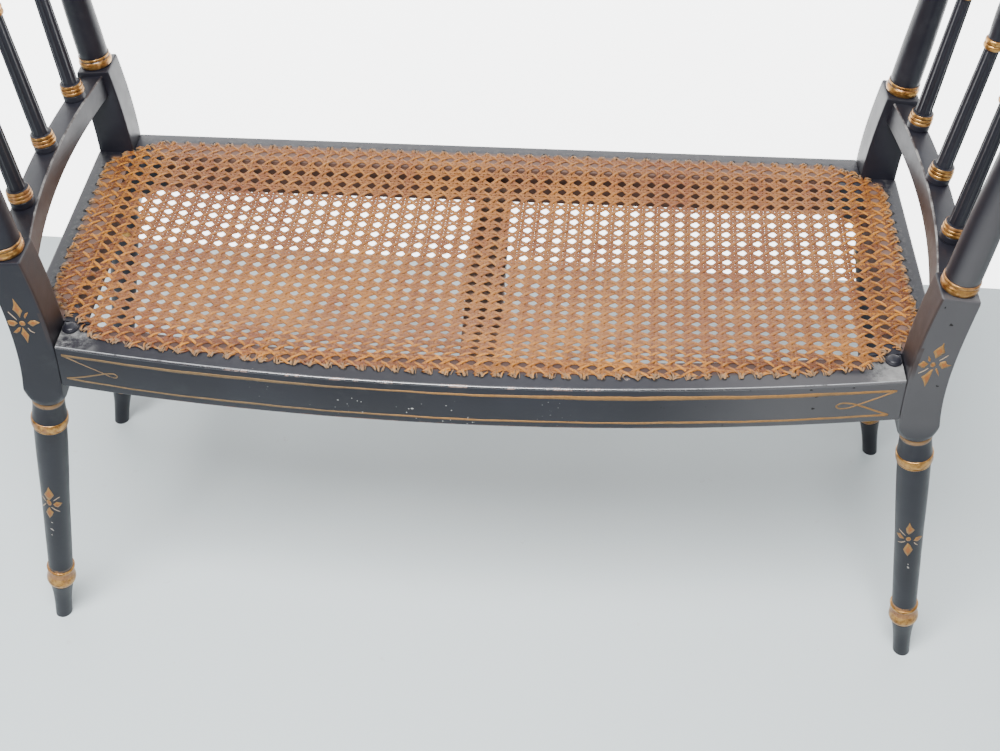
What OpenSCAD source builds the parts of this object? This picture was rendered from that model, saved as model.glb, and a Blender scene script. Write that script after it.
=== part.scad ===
// Caned window seat: a bow-fronted seat frame between two open, outward
// leaning ends. All lengths are in millimetres. The origin is on the floor
// under the middle of the seat; +X is the sitter's left-to-right line, the
// bowed front faces -Y and +Z is up.

/* [Seat frame] */
// Height of the top face of the seat rails above the floor
seat_h = 452; // [446:1:464]
// Clear width between the inner faces of the corner blocks at seat level
clear_w = 800; // [780:2:820]
// How far the front rail bows forward at the middle
bow = 30; // [20:1:36]
// Width of the front rail, measured square to its curve
front_rail_w = 37; // [35:0.5:37]
// Depth of the front rail
front_rail_h = 52; // [46:1:54]
// Width of the rear rail
rear_rail_w = 41; // [38:0.5:44]
// Depth of the rear rail
rear_rail_h = 46; // [42:1:50]
// Width of the side rails
side_rail_w = 39; // [36:0.5:40]
// Depth of the side rails
side_rail_h = 48; // [42:1:50]
// Width of the cross rail below the cane
centre_rail_w = 39; // [30:1:44]
// Depth of the cross rail below the cane
centre_rail_h = 22; // [18:1:26]

/* [Legs] */
// Outward lean of the front legs, in degrees
splay_front = 9.8; // [9.5:0.1:10.3]
// Outward lean of the rear legs, in degrees
splay_rear = 11.1; // [10.5:0.1:11.5]
// Depth of the square corner blocks, front to back
block_d = 37; // [36:0.5:38]
// Radius of the turned shaft below its upper rings
leg_r = 16.5; // [16.2:0.1:17]

/* [Ends] */
// Outward lean of the arm posts and spindles, in degrees
arm_lean = 5; // [4.5:0.1:5.3]
// Length of the posts between the corner block and the top rail
post_len = 262; // [250:1:300]
// Thickness of the lower arm rails
arm_rail_t = 25; // [22:1:26]
// Width of the lower arm rails
arm_rail_w = 23; // [21:0.5:24]
// Thickness of the top rails
top_rail_t = 24; // [21:1:28]
// Spacing of the spindles along the end
spindle_pitch = 90; // [84:1:92]

/* [Cane] */
// Sag of the cane at the middle of the seat
cane_sag = 18; // [8:1:20]
// Thickness of the woven cane
cane_t = 2.4; // [2:0.1:3]

/* [Fits] */
// Gap round each tenon and dowel in its hole
fit = 0.15; // [0.1:0.05:0.25]

/* [Hidden] */

paint = [0.13, 0.14, 0.15];
cane_colour = [0.72, 0.5, 0.3];

ci = clear_w / 2;                    // inner face of the corner blocks
yf = -142;                           // centre line of the front legs
yr = 172;                            // centre line of the rear legs
ym = (yf + yr) / 2;                  // middle of each end
bh = block_d / 2;
y_ff = yf - bh;                      // front face of the front blocks
y_fr = yf + bh;                      // rear face of the front blocks
y_rf = yr - bh;                      // front face of the rear blocks
y_rr = yr + bh;                      // rear face of the rear blocks

// The front rail is an arc through the front faces of both blocks.
R = (ci * ci + bow * bow) / (2 * bow);
arc_y = y_ff - bow + R;              // centre of that arc
R_in = R - front_rail_w;
function arc_at(r, x) = arc_y - sqrt(r * r - x * x);

side_in = ci - 1;                    // inner face of the side rails
side_out = side_in + side_rail_w;
rear_in = y_rr - 0.5 - rear_rail_w;  // front face of the rear rail
rear_out = y_rr - 0.5;

// ---- corner block outline, in the X-Z plane, z measured from the seat top
blk_top = 100.7;                     // where the post axis leaves the block
blk_x = ci + 25.2;
leg_x = ci + 28.6;                   // leg axis where the shoulder ends
leg_z = -83;
function foot_x(a) = leg_x + (seat_h + leg_z) * tan(a);
function leg_len(a) = (seat_h + leg_z) / cos(a);

b0 = [leg_x - 1.2, -78];
b1 = [ci + 13.6, -20];
b2 = [ci + 18, 40];
b3 = [blk_x - 0.2, 97.3];
function bez(t) = pow(1 - t, 3) * b0 + 3 * t * pow(1 - t, 2) * b1
    + 3 * t * t * (1 - t) * b2 + pow(t, 3) * b3;
function bez_d(t) = 3 * pow(1 - t, 2) * (b1 - b0) + 6 * t * (1 - t) * (b2 - b1)
    + 3 * t * t * (b3 - b2);
function unit(v) = v / norm(v);
function blk_w(t) = 38.4 - 3.2 * t + 1.6 * t * t - 1.6 * pow(t, 6);
// point on the outer (s = 1) or inner (s = -1) side of the block
function blk_pt(t, s) = let (d = unit(bez_d(t))) bez(t) + s * blk_w(t) / 2 * [d[1], -d[0]];
blk_n = 12;
function low_pt(a, t) = [leg_x, leg_z] - 5 * [-sin(a), cos(a)] + t * 19.3 * [cos(a), sin(a)];
pdir = [sin(arm_lean), cos(arm_lean)];
pout = [cos(arm_lean), -sin(arm_lean)];
function blk_side(a, t) = concat([low_pt(a, t)],
    [for (i = [0 : blk_n - 1]) blk_pt(i / blk_n, t)],
    [[blk_x, blk_top] + t * 17.4 * pout - 1.5 * pdir, [blk_x, blk_top] + t * 16.4 * pout]);
function rev(v) = [for (i = [len(v) - 1 : -1 : 0]) v[i]];

// ---- frame of each end: origin where the post axis meets the block top
module end_frame() {
    translate([blk_x, ym, seat_h + blk_top]) rotate([0, arm_lean, 0]) children();
}
post_off = (yr - yf) / 2;            // posts, from the middle of the end
rail_top = -4.6;                     // top of the lower rail in that frame
// The lower rail lies between two arcs, the inner one centred a little
// behind the middle of the end.
rail_r1 = 740;
rail_r2 = 940;
rail_y1 = 12;
rail_in = 1;                         // its inner face where it bows most
rail_c1 = rail_in - rail_r1;
rail_c2 = rail_in + arm_rail_w - rail_r2;
function on_rail(y) = (rail_c1 + sqrt(rail_r1 * rail_r1 - (y - rail_y1) * (y - rail_y1))
    + rail_c2 + sqrt(rail_r2 * rail_r2 - y * y)) / 2;
top_bulge = 16;
top_r = (post_off * post_off + top_bulge * top_bulge) / (2 * top_bulge);
top_cx = top_bulge - top_r;
top_w = 24;
spindle_y = [9 - spindle_pitch, 9, 9 + spindle_pitch];
spindle_foot = [on_rail(spindle_y[0]) + 1.3, on_rail(spindle_y[1]) + 0.3, on_rail(spindle_y[2]) + 1.5];
function on_top(y) = top_cx + sqrt(top_r * top_r - y * y);
spindle_head = [on_top(spindle_y[0]) - 2, on_top(spindle_y[1]) + 1, on_top(spindle_y[2]) - 2];
spindle_len = post_len - rail_top;

// ---- tenons
ten_t = 12;                          // thickness of the long rails' tenons
ten_l = 16;                          // their length
side_ten_x = ci + 20;
side_ten_w = 11;
side_ten_l = 11.5;
arm_ten = [12, 9, 16];

// ---------------------------------------------------------------- legs

module leg_turning(L) {
    rotate_extrude($fn = 64) polygon([
        [0, -4], [9.3, -4], [9.3, 4], [9.5, 19], [10.1, 33], [10.9, 43],
        [12.2, 51.5], [13.2, 57.5], [12.9, 58.7], [14.3, 59.7], [15.7, 64],
        [16.4, 72.5], [15.9, 79.5], [14.7, 86.5], [14, 90.5], [14.3, 92.5],
        [15.6, 93.9], [16.1, 97], [15.6, 100.1], [14, 101.5], [13.4, 104.5],
        [14.7, 219], [leg_r - 0.15, L - 70], [leg_r, L - 44], [leg_r, L - 42.6],
        [leg_r + 0.9, L - 42.2], [leg_r + 1, L - 39.6], [leg_r + 0.6, L - 38.8],
        [leg_r + 1.3, L - 37.8], [leg_r + 2, L - 34.4], [leg_r + 1.5, L - 30.4],
        [leg_r + 0.9, L - 28.4], [leg_r + 0.2, L - 25], [leg_r - 0.4, L - 20],
        [leg_r - 0.8, L - 13], [leg_r - 0.8, L + 0.6], [13.5, L + 8], [0, L + 8]]);
}

// The square block is turned away at its lower end to a rounded shoulder.
module shoulder(L) {
    rotate_extrude($fn = 64) polygon([
        [0, L - 0.8], [15.6, L - 0.4], [17.2, L + 1.3], [19.4, L + 4.4],
        [21.4, L + 8.4], [23.4, L + 13.4], [25.2, L + 18.4], [26.6, L + 23],
        [40, L + 60], [60, L + 220], [0, L + 220]]);
}

module block_prism(a) {
    translate([0, bh, seat_h]) rotate([90, 0, 0])
        linear_extrude(height = block_d)
            polygon(concat(blk_side(a, 1), rev(blk_side(a, -1))));
}

module leg_axis(a) {
    translate([foot_x(a), 0, 0]) rotate([0, -a, 0]) children();
}

// Right-hand leg with its centre at y = 0 and the seat towards +Y.
module corner_leg(a, rail_drop, arm_y) {
    ten_h = rail_drop - 16;
    difference() {
        union() {
            intersection() {
                block_prism(a);
                leg_axis(a) shoulder(leg_len(a));
            }
            leg_axis(a) leg_turning(leg_len(a));
        }
        // the foot is cut level with the floor
        translate([foot_x(a) - 30, -30, -20]) cube([60, 60, 20]);
        // mortise for the front or rear rail
        translate([ci - 10, -ten_t / 2 - fit, seat_h - rail_drop + 8 - fit])
            cube([10 + ten_l + 0.6, ten_t + 2 * fit, ten_h + 2 * fit]);
        // mortise for the side rail
        translate([side_ten_x - fit, bh - side_ten_l - 0.6, seat_h - side_rail_h + 8 - fit])
            cube([side_ten_w + 2 * fit, side_ten_l + 5, side_rail_h - 16 + 2 * fit]);
        // mortise for the lower arm rail and the hole for the post dowel
        translate([blk_x, 0, seat_h + blk_top]) rotate([0, arm_lean, 0]) {
            translate([on_rail(arm_y) - arm_ten[0] / 2 - fit, bh - arm_ten[1] - 0.5,
                rail_top - arm_rail_t / 2 - arm_ten[2] / 2 - fit])
                cube([arm_ten[0] + 2 * fit, arm_ten[1] + 5, arm_ten[2] + 2 * fit]);
            translate([0, 0, -29]) cylinder(r = 7 + fit, h = 40, $fn = 48);
        }
    }
}

module leg_front_right() {
    color(paint) translate([0, yf, 0]) corner_leg(splay_front, front_rail_h, bh - post_off);
}
module leg_front_left() { mirror([1, 0, 0]) leg_front_right(); }
module leg_rear_right() {
    color(paint) translate([0, yr, 0]) mirror([0, 1, 0]) corner_leg(splay_rear, rear_rail_h, post_off - bh);
}
module leg_rear_left() { mirror([1, 0, 0]) leg_rear_right(); }

// ----------------------------------------------------------- seat frame

// Everything on the far side of a block's inner face, used to cut rails.
module past_block(y0, y1) {
    translate([0, y1, seat_h]) rotate([90, 0, 0]) linear_extrude(height = y1 - y0)
        polygon(concat(blk_side(splay_front, -1), [[ci + 80, blk_top], [ci + 80, leg_z - 10]]));
}

module both_sides() {
    children();
    mirror([1, 0, 0]) children();
}

module bow_ring(r0, r1, z0, z1) {
    intersection() {
        translate([0, arc_y, 0]) rotate_extrude($fn = 720)
            polygon([[r0, z0], [r1 - 1.5, z0], [r1, z0 + 1.5], [r1, z1 - 2],
                [r1 - 2, z1], [r0, z1]]);
        translate([-ci - 20, y_ff - bow - 10, z0 - 10]) cube([2 * ci + 40, bow + 90, z1 - z0 + 20]);
    }
}

peg_x = ci - 9.4;
peg_y = yf + 8;

module seat_rail_front() {
    z0 = seat_h - front_rail_h;
    color(paint) difference() {
        union() {
            difference() {
                bow_ring(R_in, R, z0, seat_h);
                both_sides() {
                    past_block(y_ff - 20, y_fr);
                    translate([side_in, y_fr, z0 - 5]) cube([80, 60, front_rail_h + 10]);
                }
            }
            translate([-ci - ten_l, yf - ten_t / 2, z0 + 8])
                cube([2 * ci + 2 * ten_l, ten_t, front_rail_h - 16]);
        }
        // the straight tenons run into the ends only, not across the bow
        translate([-ci + 30, yf - ten_t / 2 - 1, z0 - 5])
            intersection() {
                cube([2 * ci - 60, 60, front_rail_h + 10]);
                translate([ci - 30, arc_y - yf + ten_t / 2 + 1, 0])
                    cylinder(r = R_in, h = front_rail_h + 10, $fn = 720);
            }
        // mortise for the cross rail
        translate([-centre_rail_w / 2 + 4 - fit, y_ff - bow + front_rail_w - 12.6, centre_z + 4 - fit])
            cube([centre_rail_w - 8 + 2 * fit, 40, centre_rail_h - 8 + 2 * fit]);
        both_sides() translate([peg_x, peg_y, seat_h - 16]) cylinder(r = 4 + fit, h = 30, $fn = 32);
    }
}

module seat_rail_rear() {
    z0 = seat_h - rear_rail_h;
    color(paint) difference() {
        union() {
            translate([-side_in + 0.05, rear_in, z0]) cube([2 * side_in - 0.1, rear_rail_w, rear_rail_h]);
            difference() {
                translate([-ci - 10, y_rf, z0]) cube([2 * ci + 20, rear_out - y_rf, rear_rail_h]);
                both_sides() past_block(y_rf - 5, y_rr + 5);
            }
            translate([-ci - ten_l, yr - ten_t / 2, z0 + 8])
                cube([2 * ci + 2 * ten_l, ten_t, rear_rail_h - 16]);
        }
        translate([-centre_rail_w / 2 + 4 - fit, rear_in - 10, centre_z + 4 - fit])
            cube([centre_rail_w - 8 + 2 * fit, 22.6, centre_rail_h - 8 + 2 * fit]);
    }
}

module side_rail() {
    z0 = seat_h - side_rail_h;
    color(paint) {
        translate([0, y_rf, 0]) rotate([90, 0, 0]) linear_extrude(height = y_rf - y_fr)
            polygon([[side_in, z0], [side_out - 1.5, z0], [side_out, z0 + 1.5],
                [side_out, seat_h - 2], [side_out - 2, seat_h], [side_in, seat_h]]);
        translate([side_ten_x, y_fr - side_ten_l, z0 + 8])
            cube([side_ten_w, y_rf - y_fr + 2 * side_ten_l, side_rail_h - 16]);
    }
}
module seat_rail_right() { side_rail(); }
module seat_rail_left() { mirror([1, 0, 0]) side_rail(); }

// The cross rail lies low enough for the cane to sag over it.
centre_z = seat_h - 25 - centre_rail_h;
module centre_rail() {
    y0 = y_ff - bow + front_rail_w;
    color(paint) {
        difference() {
            translate([-centre_rail_w / 2, y0 - 2, centre_z])
                cube([centre_rail_w, rear_in - y0 + 2, centre_rail_h]);
            difference() {
                translate([-60, y0 - 60, centre_z - 5]) cube([120, 80, centre_rail_h + 10]);
                translate([0, arc_y, centre_z - 10])
                    cylinder(r = R_in, h = centre_rail_h + 20, $fn = 720);
            }
        }
        translate([-centre_rail_w / 2 + 4, y0 - 12, centre_z + 4])
            cube([centre_rail_w - 8, rear_in - y0 + 24, centre_rail_h - 8]);
    }
}

// Glued corner blocks fill the inner corners level with the rails.
module front_corner() {
    color(paint) intersection() {
        translate([0, 0, seat_h - 42]) linear_extrude(height = 42)
            polygon([[side_in, y_fr - 12], [side_in, y_fr + 30], [side_in - 31, y_fr - 2],
                [side_in - 31, y_fr - 12]]);
        translate([0, arc_y, seat_h - 50]) cylinder(r = R_in, h = 60, $fn = 720);
    }
}
module rear_corner() {
    color(paint) translate([0, 0, seat_h - 40]) linear_extrude(height = 40)
        polygon([[side_in, rear_in], [side_in - 31, rear_in], [side_in, rear_in - 30]]);
}
module corner_block_front_right() { front_corner(); }
module corner_block_front_left() { mirror([1, 0, 0]) front_corner(); }
module corner_block_rear_right() { rear_corner(); }
module corner_block_rear_left() { mirror([1, 0, 0]) rear_corner(); }

// Domed pegs at the front corners of the cane.
module corner_pegs() {
    color(paint) both_sides() translate([peg_x, peg_y, seat_h]) rotate_extrude($fn = 48)
        polygon([[0, -15], [4, -15], [4, 0], [8.7, 0], [9, 0.8], [8.7, 2.2], [7.4, 3.8],
            [5.2, 5], [2.6, 5.6], [0, 5.8]]);
}

// ---------------------------------------------------------------- cane

cane_x = [-423.5, -399, -367, -330, -280, -220, -150, -75, 0, 75, 150, 220, 280, 330, 367, 399, 423.5];
cane_f = [0, 0.115, 0.22, 0.35, 0.5, 0.65, 0.78, 0.885, 1];
cane_nx = len(cane_x);
cane_nf = len(cane_f) + 2;
cane_edge = 15;                      // hole line behind the rails' outer faces
function c_corner(i, j) = let (a = min(i, cane_nx - 1 - i)) j <= 1
    ? (a == 0 ? (j == 0 ? [404, -121] : [413, -96])
        : a == 1 && j == 0 ? [380, -143] : undef)
    : (j == cane_nf - 1 && a == 0 ? [408, 168] : undef);
function c_y(i, j) = let (x = cane_x[i], a = max(-side_in, min(side_in, x)))
    j == 0 ? arc_at(R - cane_edge, x)
    : j == cane_nf - 1 ? y_rr - cane_edge
    : let (f = cane_f[j - 1]) arc_at(R_in, a) * (1 - f) + rear_in * f;
function c_in(i) = min(i, cane_nx - 1 - i);
function c_sag(i, j) = let (a = c_in(i), b = min(j, cane_nf - 1 - j))
    a <= 1 || b <= 1 || (a == 2 && b == 2) ? 0
    : let (f = cane_f[j - 1], u = cane_x[i] / side_in)
        cane_sag * (1 - pow(abs(u), 2.4)) * (1 - pow(abs(2 * f - 1), 2.2));
function c_pt(i, j, up) = let (c = c_corner(i, j), z = seat_h - c_sag(i, j) + up)
    c == undef ? [cane_x[i], c_y(i, j), z] : [sign(cane_x[i]) * c[0], c[1], z];

module cane_panel() {
    n = cane_nx * cane_nf;
    pts = concat([for (j = [0 : cane_nf - 1]) for (i = [0 : cane_nx - 1]) c_pt(i, j, cane_t)],
        [for (j = [0 : cane_nf - 1]) for (i = [0 : cane_nx - 1]) c_pt(i, j, 0)]);
    function id(i, j) = j * cane_nx + i;
    top = [for (j = [0 : cane_nf - 2]) for (i = [0 : cane_nx - 2]) each
        [[id(i, j), id(i, j + 1), id(i + 1, j + 1)], [id(i, j), id(i + 1, j + 1), id(i + 1, j)]]];
    low = [for (f = top) [n + f[0], n + f[2], n + f[1]]];
    rim = concat([for (i = [0 : cane_nx - 2]) id(i, 0)],
        [for (j = [0 : cane_nf - 2]) id(cane_nx - 1, j)],
        [for (i = [cane_nx - 1 : -1 : 1]) id(i, cane_nf - 1)],
        [for (j = [cane_nf - 1 : -1 : 1]) id(0, j)]);
    wall = [for (k = [0 : len(rim) - 1]) let (a = rim[k], b = rim[(k + 1) % len(rim)]) each
        [[a, b, n + b], [a, n + b, n + a]]];
    color(cane_colour) polyhedron(points = pts, faces = concat(top, low, wall), convexity = 4);
}

// ---------------------------------------------------------------- ends

module end_rail() {
    z0 = rail_top - arm_rail_t;
    e = post_off - bh;
    color(paint) end_frame() {
        difference() {
            intersection() {
                translate([rail_c2, 0, 0]) rotate_extrude($fn = 360)
                    polygon([[rail_r2 - 70, z0], [rail_r2, z0], [rail_r2, rail_top - 1.2],
                        [rail_r2 - 1.2, rail_top], [rail_r2 - 70, rail_top]]);
                translate([-60, -e, -60]) cube([140, 2 * e, 80]);
            }
            translate([rail_c1, rail_y1, 0]) rotate_extrude($fn = 360)
                polygon([[rail_r1 - 90, z0 - 5], [rail_r1, z0 - 5], [rail_r1, rail_top - 1.2],
                    [rail_r1 + 1.2, rail_top], [rail_r1 + 1.2, rail_top + 5], [rail_r1 - 90, rail_top + 5]]);
            for (i = [0 : 2]) translate([spindle_foot[i], spindle_y[i], rail_top - 14])
                cylinder(r = 4.5 + fit, h = 30, $fn = 32);
        }
        for (t = [-1, 1])
            translate([on_rail(t * e) - arm_ten[0] / 2, t > 0 ? e - 1 : -e - arm_ten[1],
                rail_top - arm_rail_t / 2 - arm_ten[2] / 2])
                cube([arm_ten[0], arm_ten[1] + 1, arm_ten[2]]);
    }
}
module arm_rail_right() { end_rail(); }
module arm_rail_left() { mirror([1, 0, 0]) end_rail(); }

// g thickens the lower part; the front posts are a little stouter.
module post(y, g) {
    S = post_len;
    color(paint) end_frame() translate([0, y, 0]) rotate_extrude($fn = 64) polygon([
        [0, -28], [7, -28], [7, 0], [14.6, 0], [16.2, 1.1], [17.2, 3], [17.4, 4.8], [17.1, 6.8],
        [16.2 + g / 2, 8.6], [15.4 + g, 9.5], [16.2 + g, 10.1], [16.4 + g, 11.4], [15.9 + g, 12.3],
        [15.4 + g, 12.7], [15.1 + g, 50], [14 + g, 104], [13.2 + g / 2, 140],
        [12.4, 190], [12, S - 20], [12, S - 17], [13.6, S - 16.4], [14.5, S - 13.5], [13.6, S - 10.6],
        [12.4, S - 10], [13, S - 6], [14, S], [6, S], [6, S + 14], [0, S + 14]]);
}
module arm_post_front_right() { post(-post_off, 0.7); }
module arm_post_rear_right() { post(post_off, 0); }
module arm_post_front_left() { mirror([1, 0, 0]) post(-post_off, 0.7); }
module arm_post_rear_left() { mirror([1, 0, 0]) post(post_off, 0); }

// A plain collar and three beads, a lower shaft, a ring at mid height and a
// swelled upper part. The shaft leans a little more or less than the posts,
// so that its foot and head stand square on the two rails.
module spindle(i) {
    S = spindle_len;
    foot = spindle_foot[i];
    head = spindle_head[i];
    color(paint) end_frame() {
        translate([foot, spindle_y[i], rail_top]) rotate_extrude($fn = 48) polygon([
            [0, -13], [4.5, -13], [4.5, 0], [11.2, 0], [11.5, 0.7], [11.4, 6.4], [11, 7],
            [11.6, 7.7], [11.9, 9.2], [11.4, 10.7], [11, 11.1], [11.5, 11.7], [11.7, 13.1],
            [11.2, 14.4], [10.7, 14.8], [11, 15.3], [11.1, 16.6], [10.4, 18.1], [8.7, 18.8], [0, 18.8]]);
        translate([foot, spindle_y[i], rail_top]) rotate([0, atan2(head - foot, S), 0])
            rotate_extrude($fn = 48) polygon([[0, 15], [8.3, 15], [8.2, 22], [7.9, 50], [7.3, 100],
                [6.8, 147], [7.6, 148], [8.9, 150], [8.9, 151.6], [8.2, 152.8], [9, 154], [8.9, 156],
                [7.8, 158], [7.6, 160], [8.6, 170], [9.3, 182], [9.6, 196], [9.3, 210], [8.4, 224],
                [7.2, S - 24], [6.8, S - 19], [6.8, S - 14], [0, S - 14]]);
        translate([head, spindle_y[i], rail_top]) rotate_extrude($fn = 48) polygon([
            [0, S - 19], [7.4, S - 19], [8.6, S - 18], [9, S - 16], [8.4, S - 14], [9, S - 12],
            [8.6, S - 10], [7.6, S - 9], [8, S - 5], [9.4, S], [4, S], [4, S + 11], [0, S + 11]]);
    }
}
module spindle_right_front() { spindle(0); }
module spindle_right_middle() { spindle(1); }
module spindle_right_rear() { spindle(2); }
module spindle_left_front() { mirror([1, 0, 0]) spindle(0); }
module spindle_left_middle() { mirror([1, 0, 0]) spindle(1); }
module spindle_left_rear() { mirror([1, 0, 0]) spindle(2); }

// Top rail: bowed like the rail below, with rounded ends past the posts.
module end_top() {
    S = post_len;
    yo = post_off + 4;
    color(paint) end_frame() difference() {
        union() {
            intersection() {
                translate([top_cx, 0, 0]) rotate_extrude($fn = 360)
                    polygon([[top_r - top_w / 2, S + 3], [top_r - top_w / 2 + 3, S], [top_r + top_w / 2 - 3, S],
                        [top_r + top_w / 2, S + 3], [top_r + top_w / 2, S + top_rail_t - 7],
                        [top_r + top_w / 2 - 2.5, S + top_rail_t - 2.5], [top_r + top_w / 2 - 7, S + top_rail_t],
                        [top_r - top_w / 2 + 7, S + top_rail_t], [top_r - top_w / 2 + 2.5, S + top_rail_t - 2.5],
                        [top_r - top_w / 2, S + top_rail_t - 7]]);
                translate([-60, -yo, S - 10]) cube([140, 2 * yo, 60]);
            }
            for (m = [0, 1]) mirror([0, m, 0])
                translate([on_top(yo), yo, S]) rotate_extrude($fn = 64)
                    polygon([[0, 0], [top_w / 2 - 3, 0], [top_w / 2, 3], [top_w / 2, top_rail_t - 7],
                        [top_w / 2 - 2.5, top_rail_t - 2.5], [top_w / 2 - 7, top_rail_t], [0, top_rail_t]]);
        }
        for (m = [0, 1]) mirror([0, m, 0]) translate([0, post_off, S - 5]) cylinder(r = 6 + fit, h = 20, $fn = 32);
        for (i = [0 : 2]) translate([spindle_head[i], spindle_y[i], S - 5]) cylinder(r = 4 + fit, h = 17, $fn = 32);
    }
}
module top_rail_right() { end_top(); }
module top_rail_left() { mirror([1, 0, 0]) end_top(); }

// ------------------------------------------------------------- assembly

leg_front_left();
leg_front_right();
leg_rear_left();
leg_rear_right();
seat_rail_front();
seat_rail_rear();
seat_rail_left();
seat_rail_right();
centre_rail();
corner_block_front_left();
corner_block_front_right();
corner_block_rear_left();
corner_block_rear_right();
corner_pegs();
cane_panel();
arm_rail_left();
arm_rail_right();
arm_post_front_left();
arm_post_front_right();
arm_post_rear_left();
arm_post_rear_right();
spindle_left_front();
spindle_left_middle();
spindle_left_rear();
spindle_right_front();
spindle_right_middle();
spindle_right_rear();
top_rail_left();
top_rail_right();
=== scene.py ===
"""Caned window seat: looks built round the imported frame. Lengths are in millimetres until mesh_obj()."""
import math
import random

import bmesh
import bpy
import numpy as np
from mathutils import Matrix, Vector


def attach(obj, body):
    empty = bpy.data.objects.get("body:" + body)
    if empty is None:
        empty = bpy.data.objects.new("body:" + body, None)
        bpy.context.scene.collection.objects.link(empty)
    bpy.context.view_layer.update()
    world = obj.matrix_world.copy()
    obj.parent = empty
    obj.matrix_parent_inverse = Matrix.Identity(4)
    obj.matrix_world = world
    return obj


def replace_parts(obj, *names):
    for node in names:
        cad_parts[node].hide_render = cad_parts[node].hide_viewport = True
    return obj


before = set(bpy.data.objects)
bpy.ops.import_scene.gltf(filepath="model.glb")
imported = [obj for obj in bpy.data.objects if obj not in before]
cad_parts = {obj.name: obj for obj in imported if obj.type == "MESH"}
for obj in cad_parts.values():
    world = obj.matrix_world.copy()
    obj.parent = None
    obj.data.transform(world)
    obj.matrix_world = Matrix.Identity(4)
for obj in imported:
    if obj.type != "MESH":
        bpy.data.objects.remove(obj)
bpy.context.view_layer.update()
rng = random.Random(7)

# ---------------------------------------------------------------- dimensions
SEAT = 452.0
CI = 400.0
YF, YR = -142.0, 172.0
YM = (YF + YR) / 2
BH = 18.5
Y_FF, Y_FR, Y_RF, Y_RR = YF - BH, YF + BH, YR - BH, YR + BH
BOW = 30.0
R = (CI * CI + BOW * BOW) / (2 * BOW)
ARC_Y = Y_FF - BOW + R
R_IN = R - 37.0
FRONT_H, REAR_H, SIDE_H = 52.0, 46.0, 48.0
LOW_Z = (SEAT - FRONT_H) * 0.001 + 0.0008
SIDE_IN, SIDE_OUT = CI - 1, CI + 38
REAR_IN, REAR_OUT = Y_RR - 41.5, Y_RR - 0.5
BLK_TOP, BLK_X = 100.7, CI + 25.2
LEG_X, LEG_Z = CI + 28.6, -83.0
LEAN = math.radians(5.0)
SPLAY = {"front": math.radians(9.8), "rear": math.radians(11.1)}
POST_OFF = (YR - YF) / 2
RAIL_TOP = -4.6
RAIL_T, RAIL_W = 25.0, 23.0
RAIL_R1, RAIL_R2, RAIL_Y1, RAIL_IN = 740.0, 940.0, 12.0, 1.0
RAIL_C1, RAIL_C2 = RAIL_IN - RAIL_R1, RAIL_IN + RAIL_W - RAIL_R2
POST_LEN = 262.0
SP_LEN = POST_LEN - RAIL_TOP
TOP_T, TOP_W, TOP_BULGE = 24.0, 24.0, 16.0
TOP_R = (POST_OFF ** 2 + TOP_BULGE ** 2) / (2 * TOP_BULGE)
TOP_CX = TOP_BULGE - TOP_R
SP_Y = [9.0 - 90, 9.0, 9.0 + 90]


def arc_at(r, x):
    return ARC_Y - math.sqrt(r * r - x * x)


def rail_inner(y):
    return RAIL_C1 + math.sqrt(RAIL_R1 ** 2 - (y - RAIL_Y1) ** 2)


def rail_outer(y):
    return RAIL_C2 + math.sqrt(RAIL_R2 ** 2 - y * y)


def on_rail(y):
    return (rail_inner(y) + rail_outer(y)) / 2


def on_top(y):
    return TOP_CX + math.sqrt(TOP_R ** 2 - y * y)


SP_FOOT = [on_rail(SP_Y[0]) + 1.3, on_rail(SP_Y[1]) + 0.3, on_rail(SP_Y[2]) + 1.5]
SP_HEAD = [on_top(SP_Y[0]) - 2, on_top(SP_Y[1]) + 1, on_top(SP_Y[2]) - 2]

# ------------------------------------------------------------------ camera
rows = np.array([[0.99878287, 0.04850947, 0.00892198],
                 [0.04037791, -0.70027087, -0.7127344],
                 [-0.02832657, 0.71222716, -0.70137727]])
cam_data = bpy.data.cameras.new("Camera")
cam = bpy.data.objects.new("Camera", cam_data)
bpy.context.scene.collection.objects.link(cam)
cam_data.sensor_fit = "HORIZONTAL"
cam_data.sensor_width = 36.0
cam_data.lens = 36.0 * 1367.38 / 1000.0
cam_data.clip_start, cam_data.clip_end = 0.05, 60.0
right, down, fwd = (Vector(v) for v in rows)
m = Matrix.Identity(4)
for c, v in enumerate((right, -down, -fwd)):
    for r_ in range(3):
        m[r_][c] = v[r_]
cam.matrix_world = Matrix.Translation((0.05819, -1.07619, 1.34013)) @ m
bpy.context.scene.camera = cam

# --------------------------------------------------------------- materials


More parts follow.
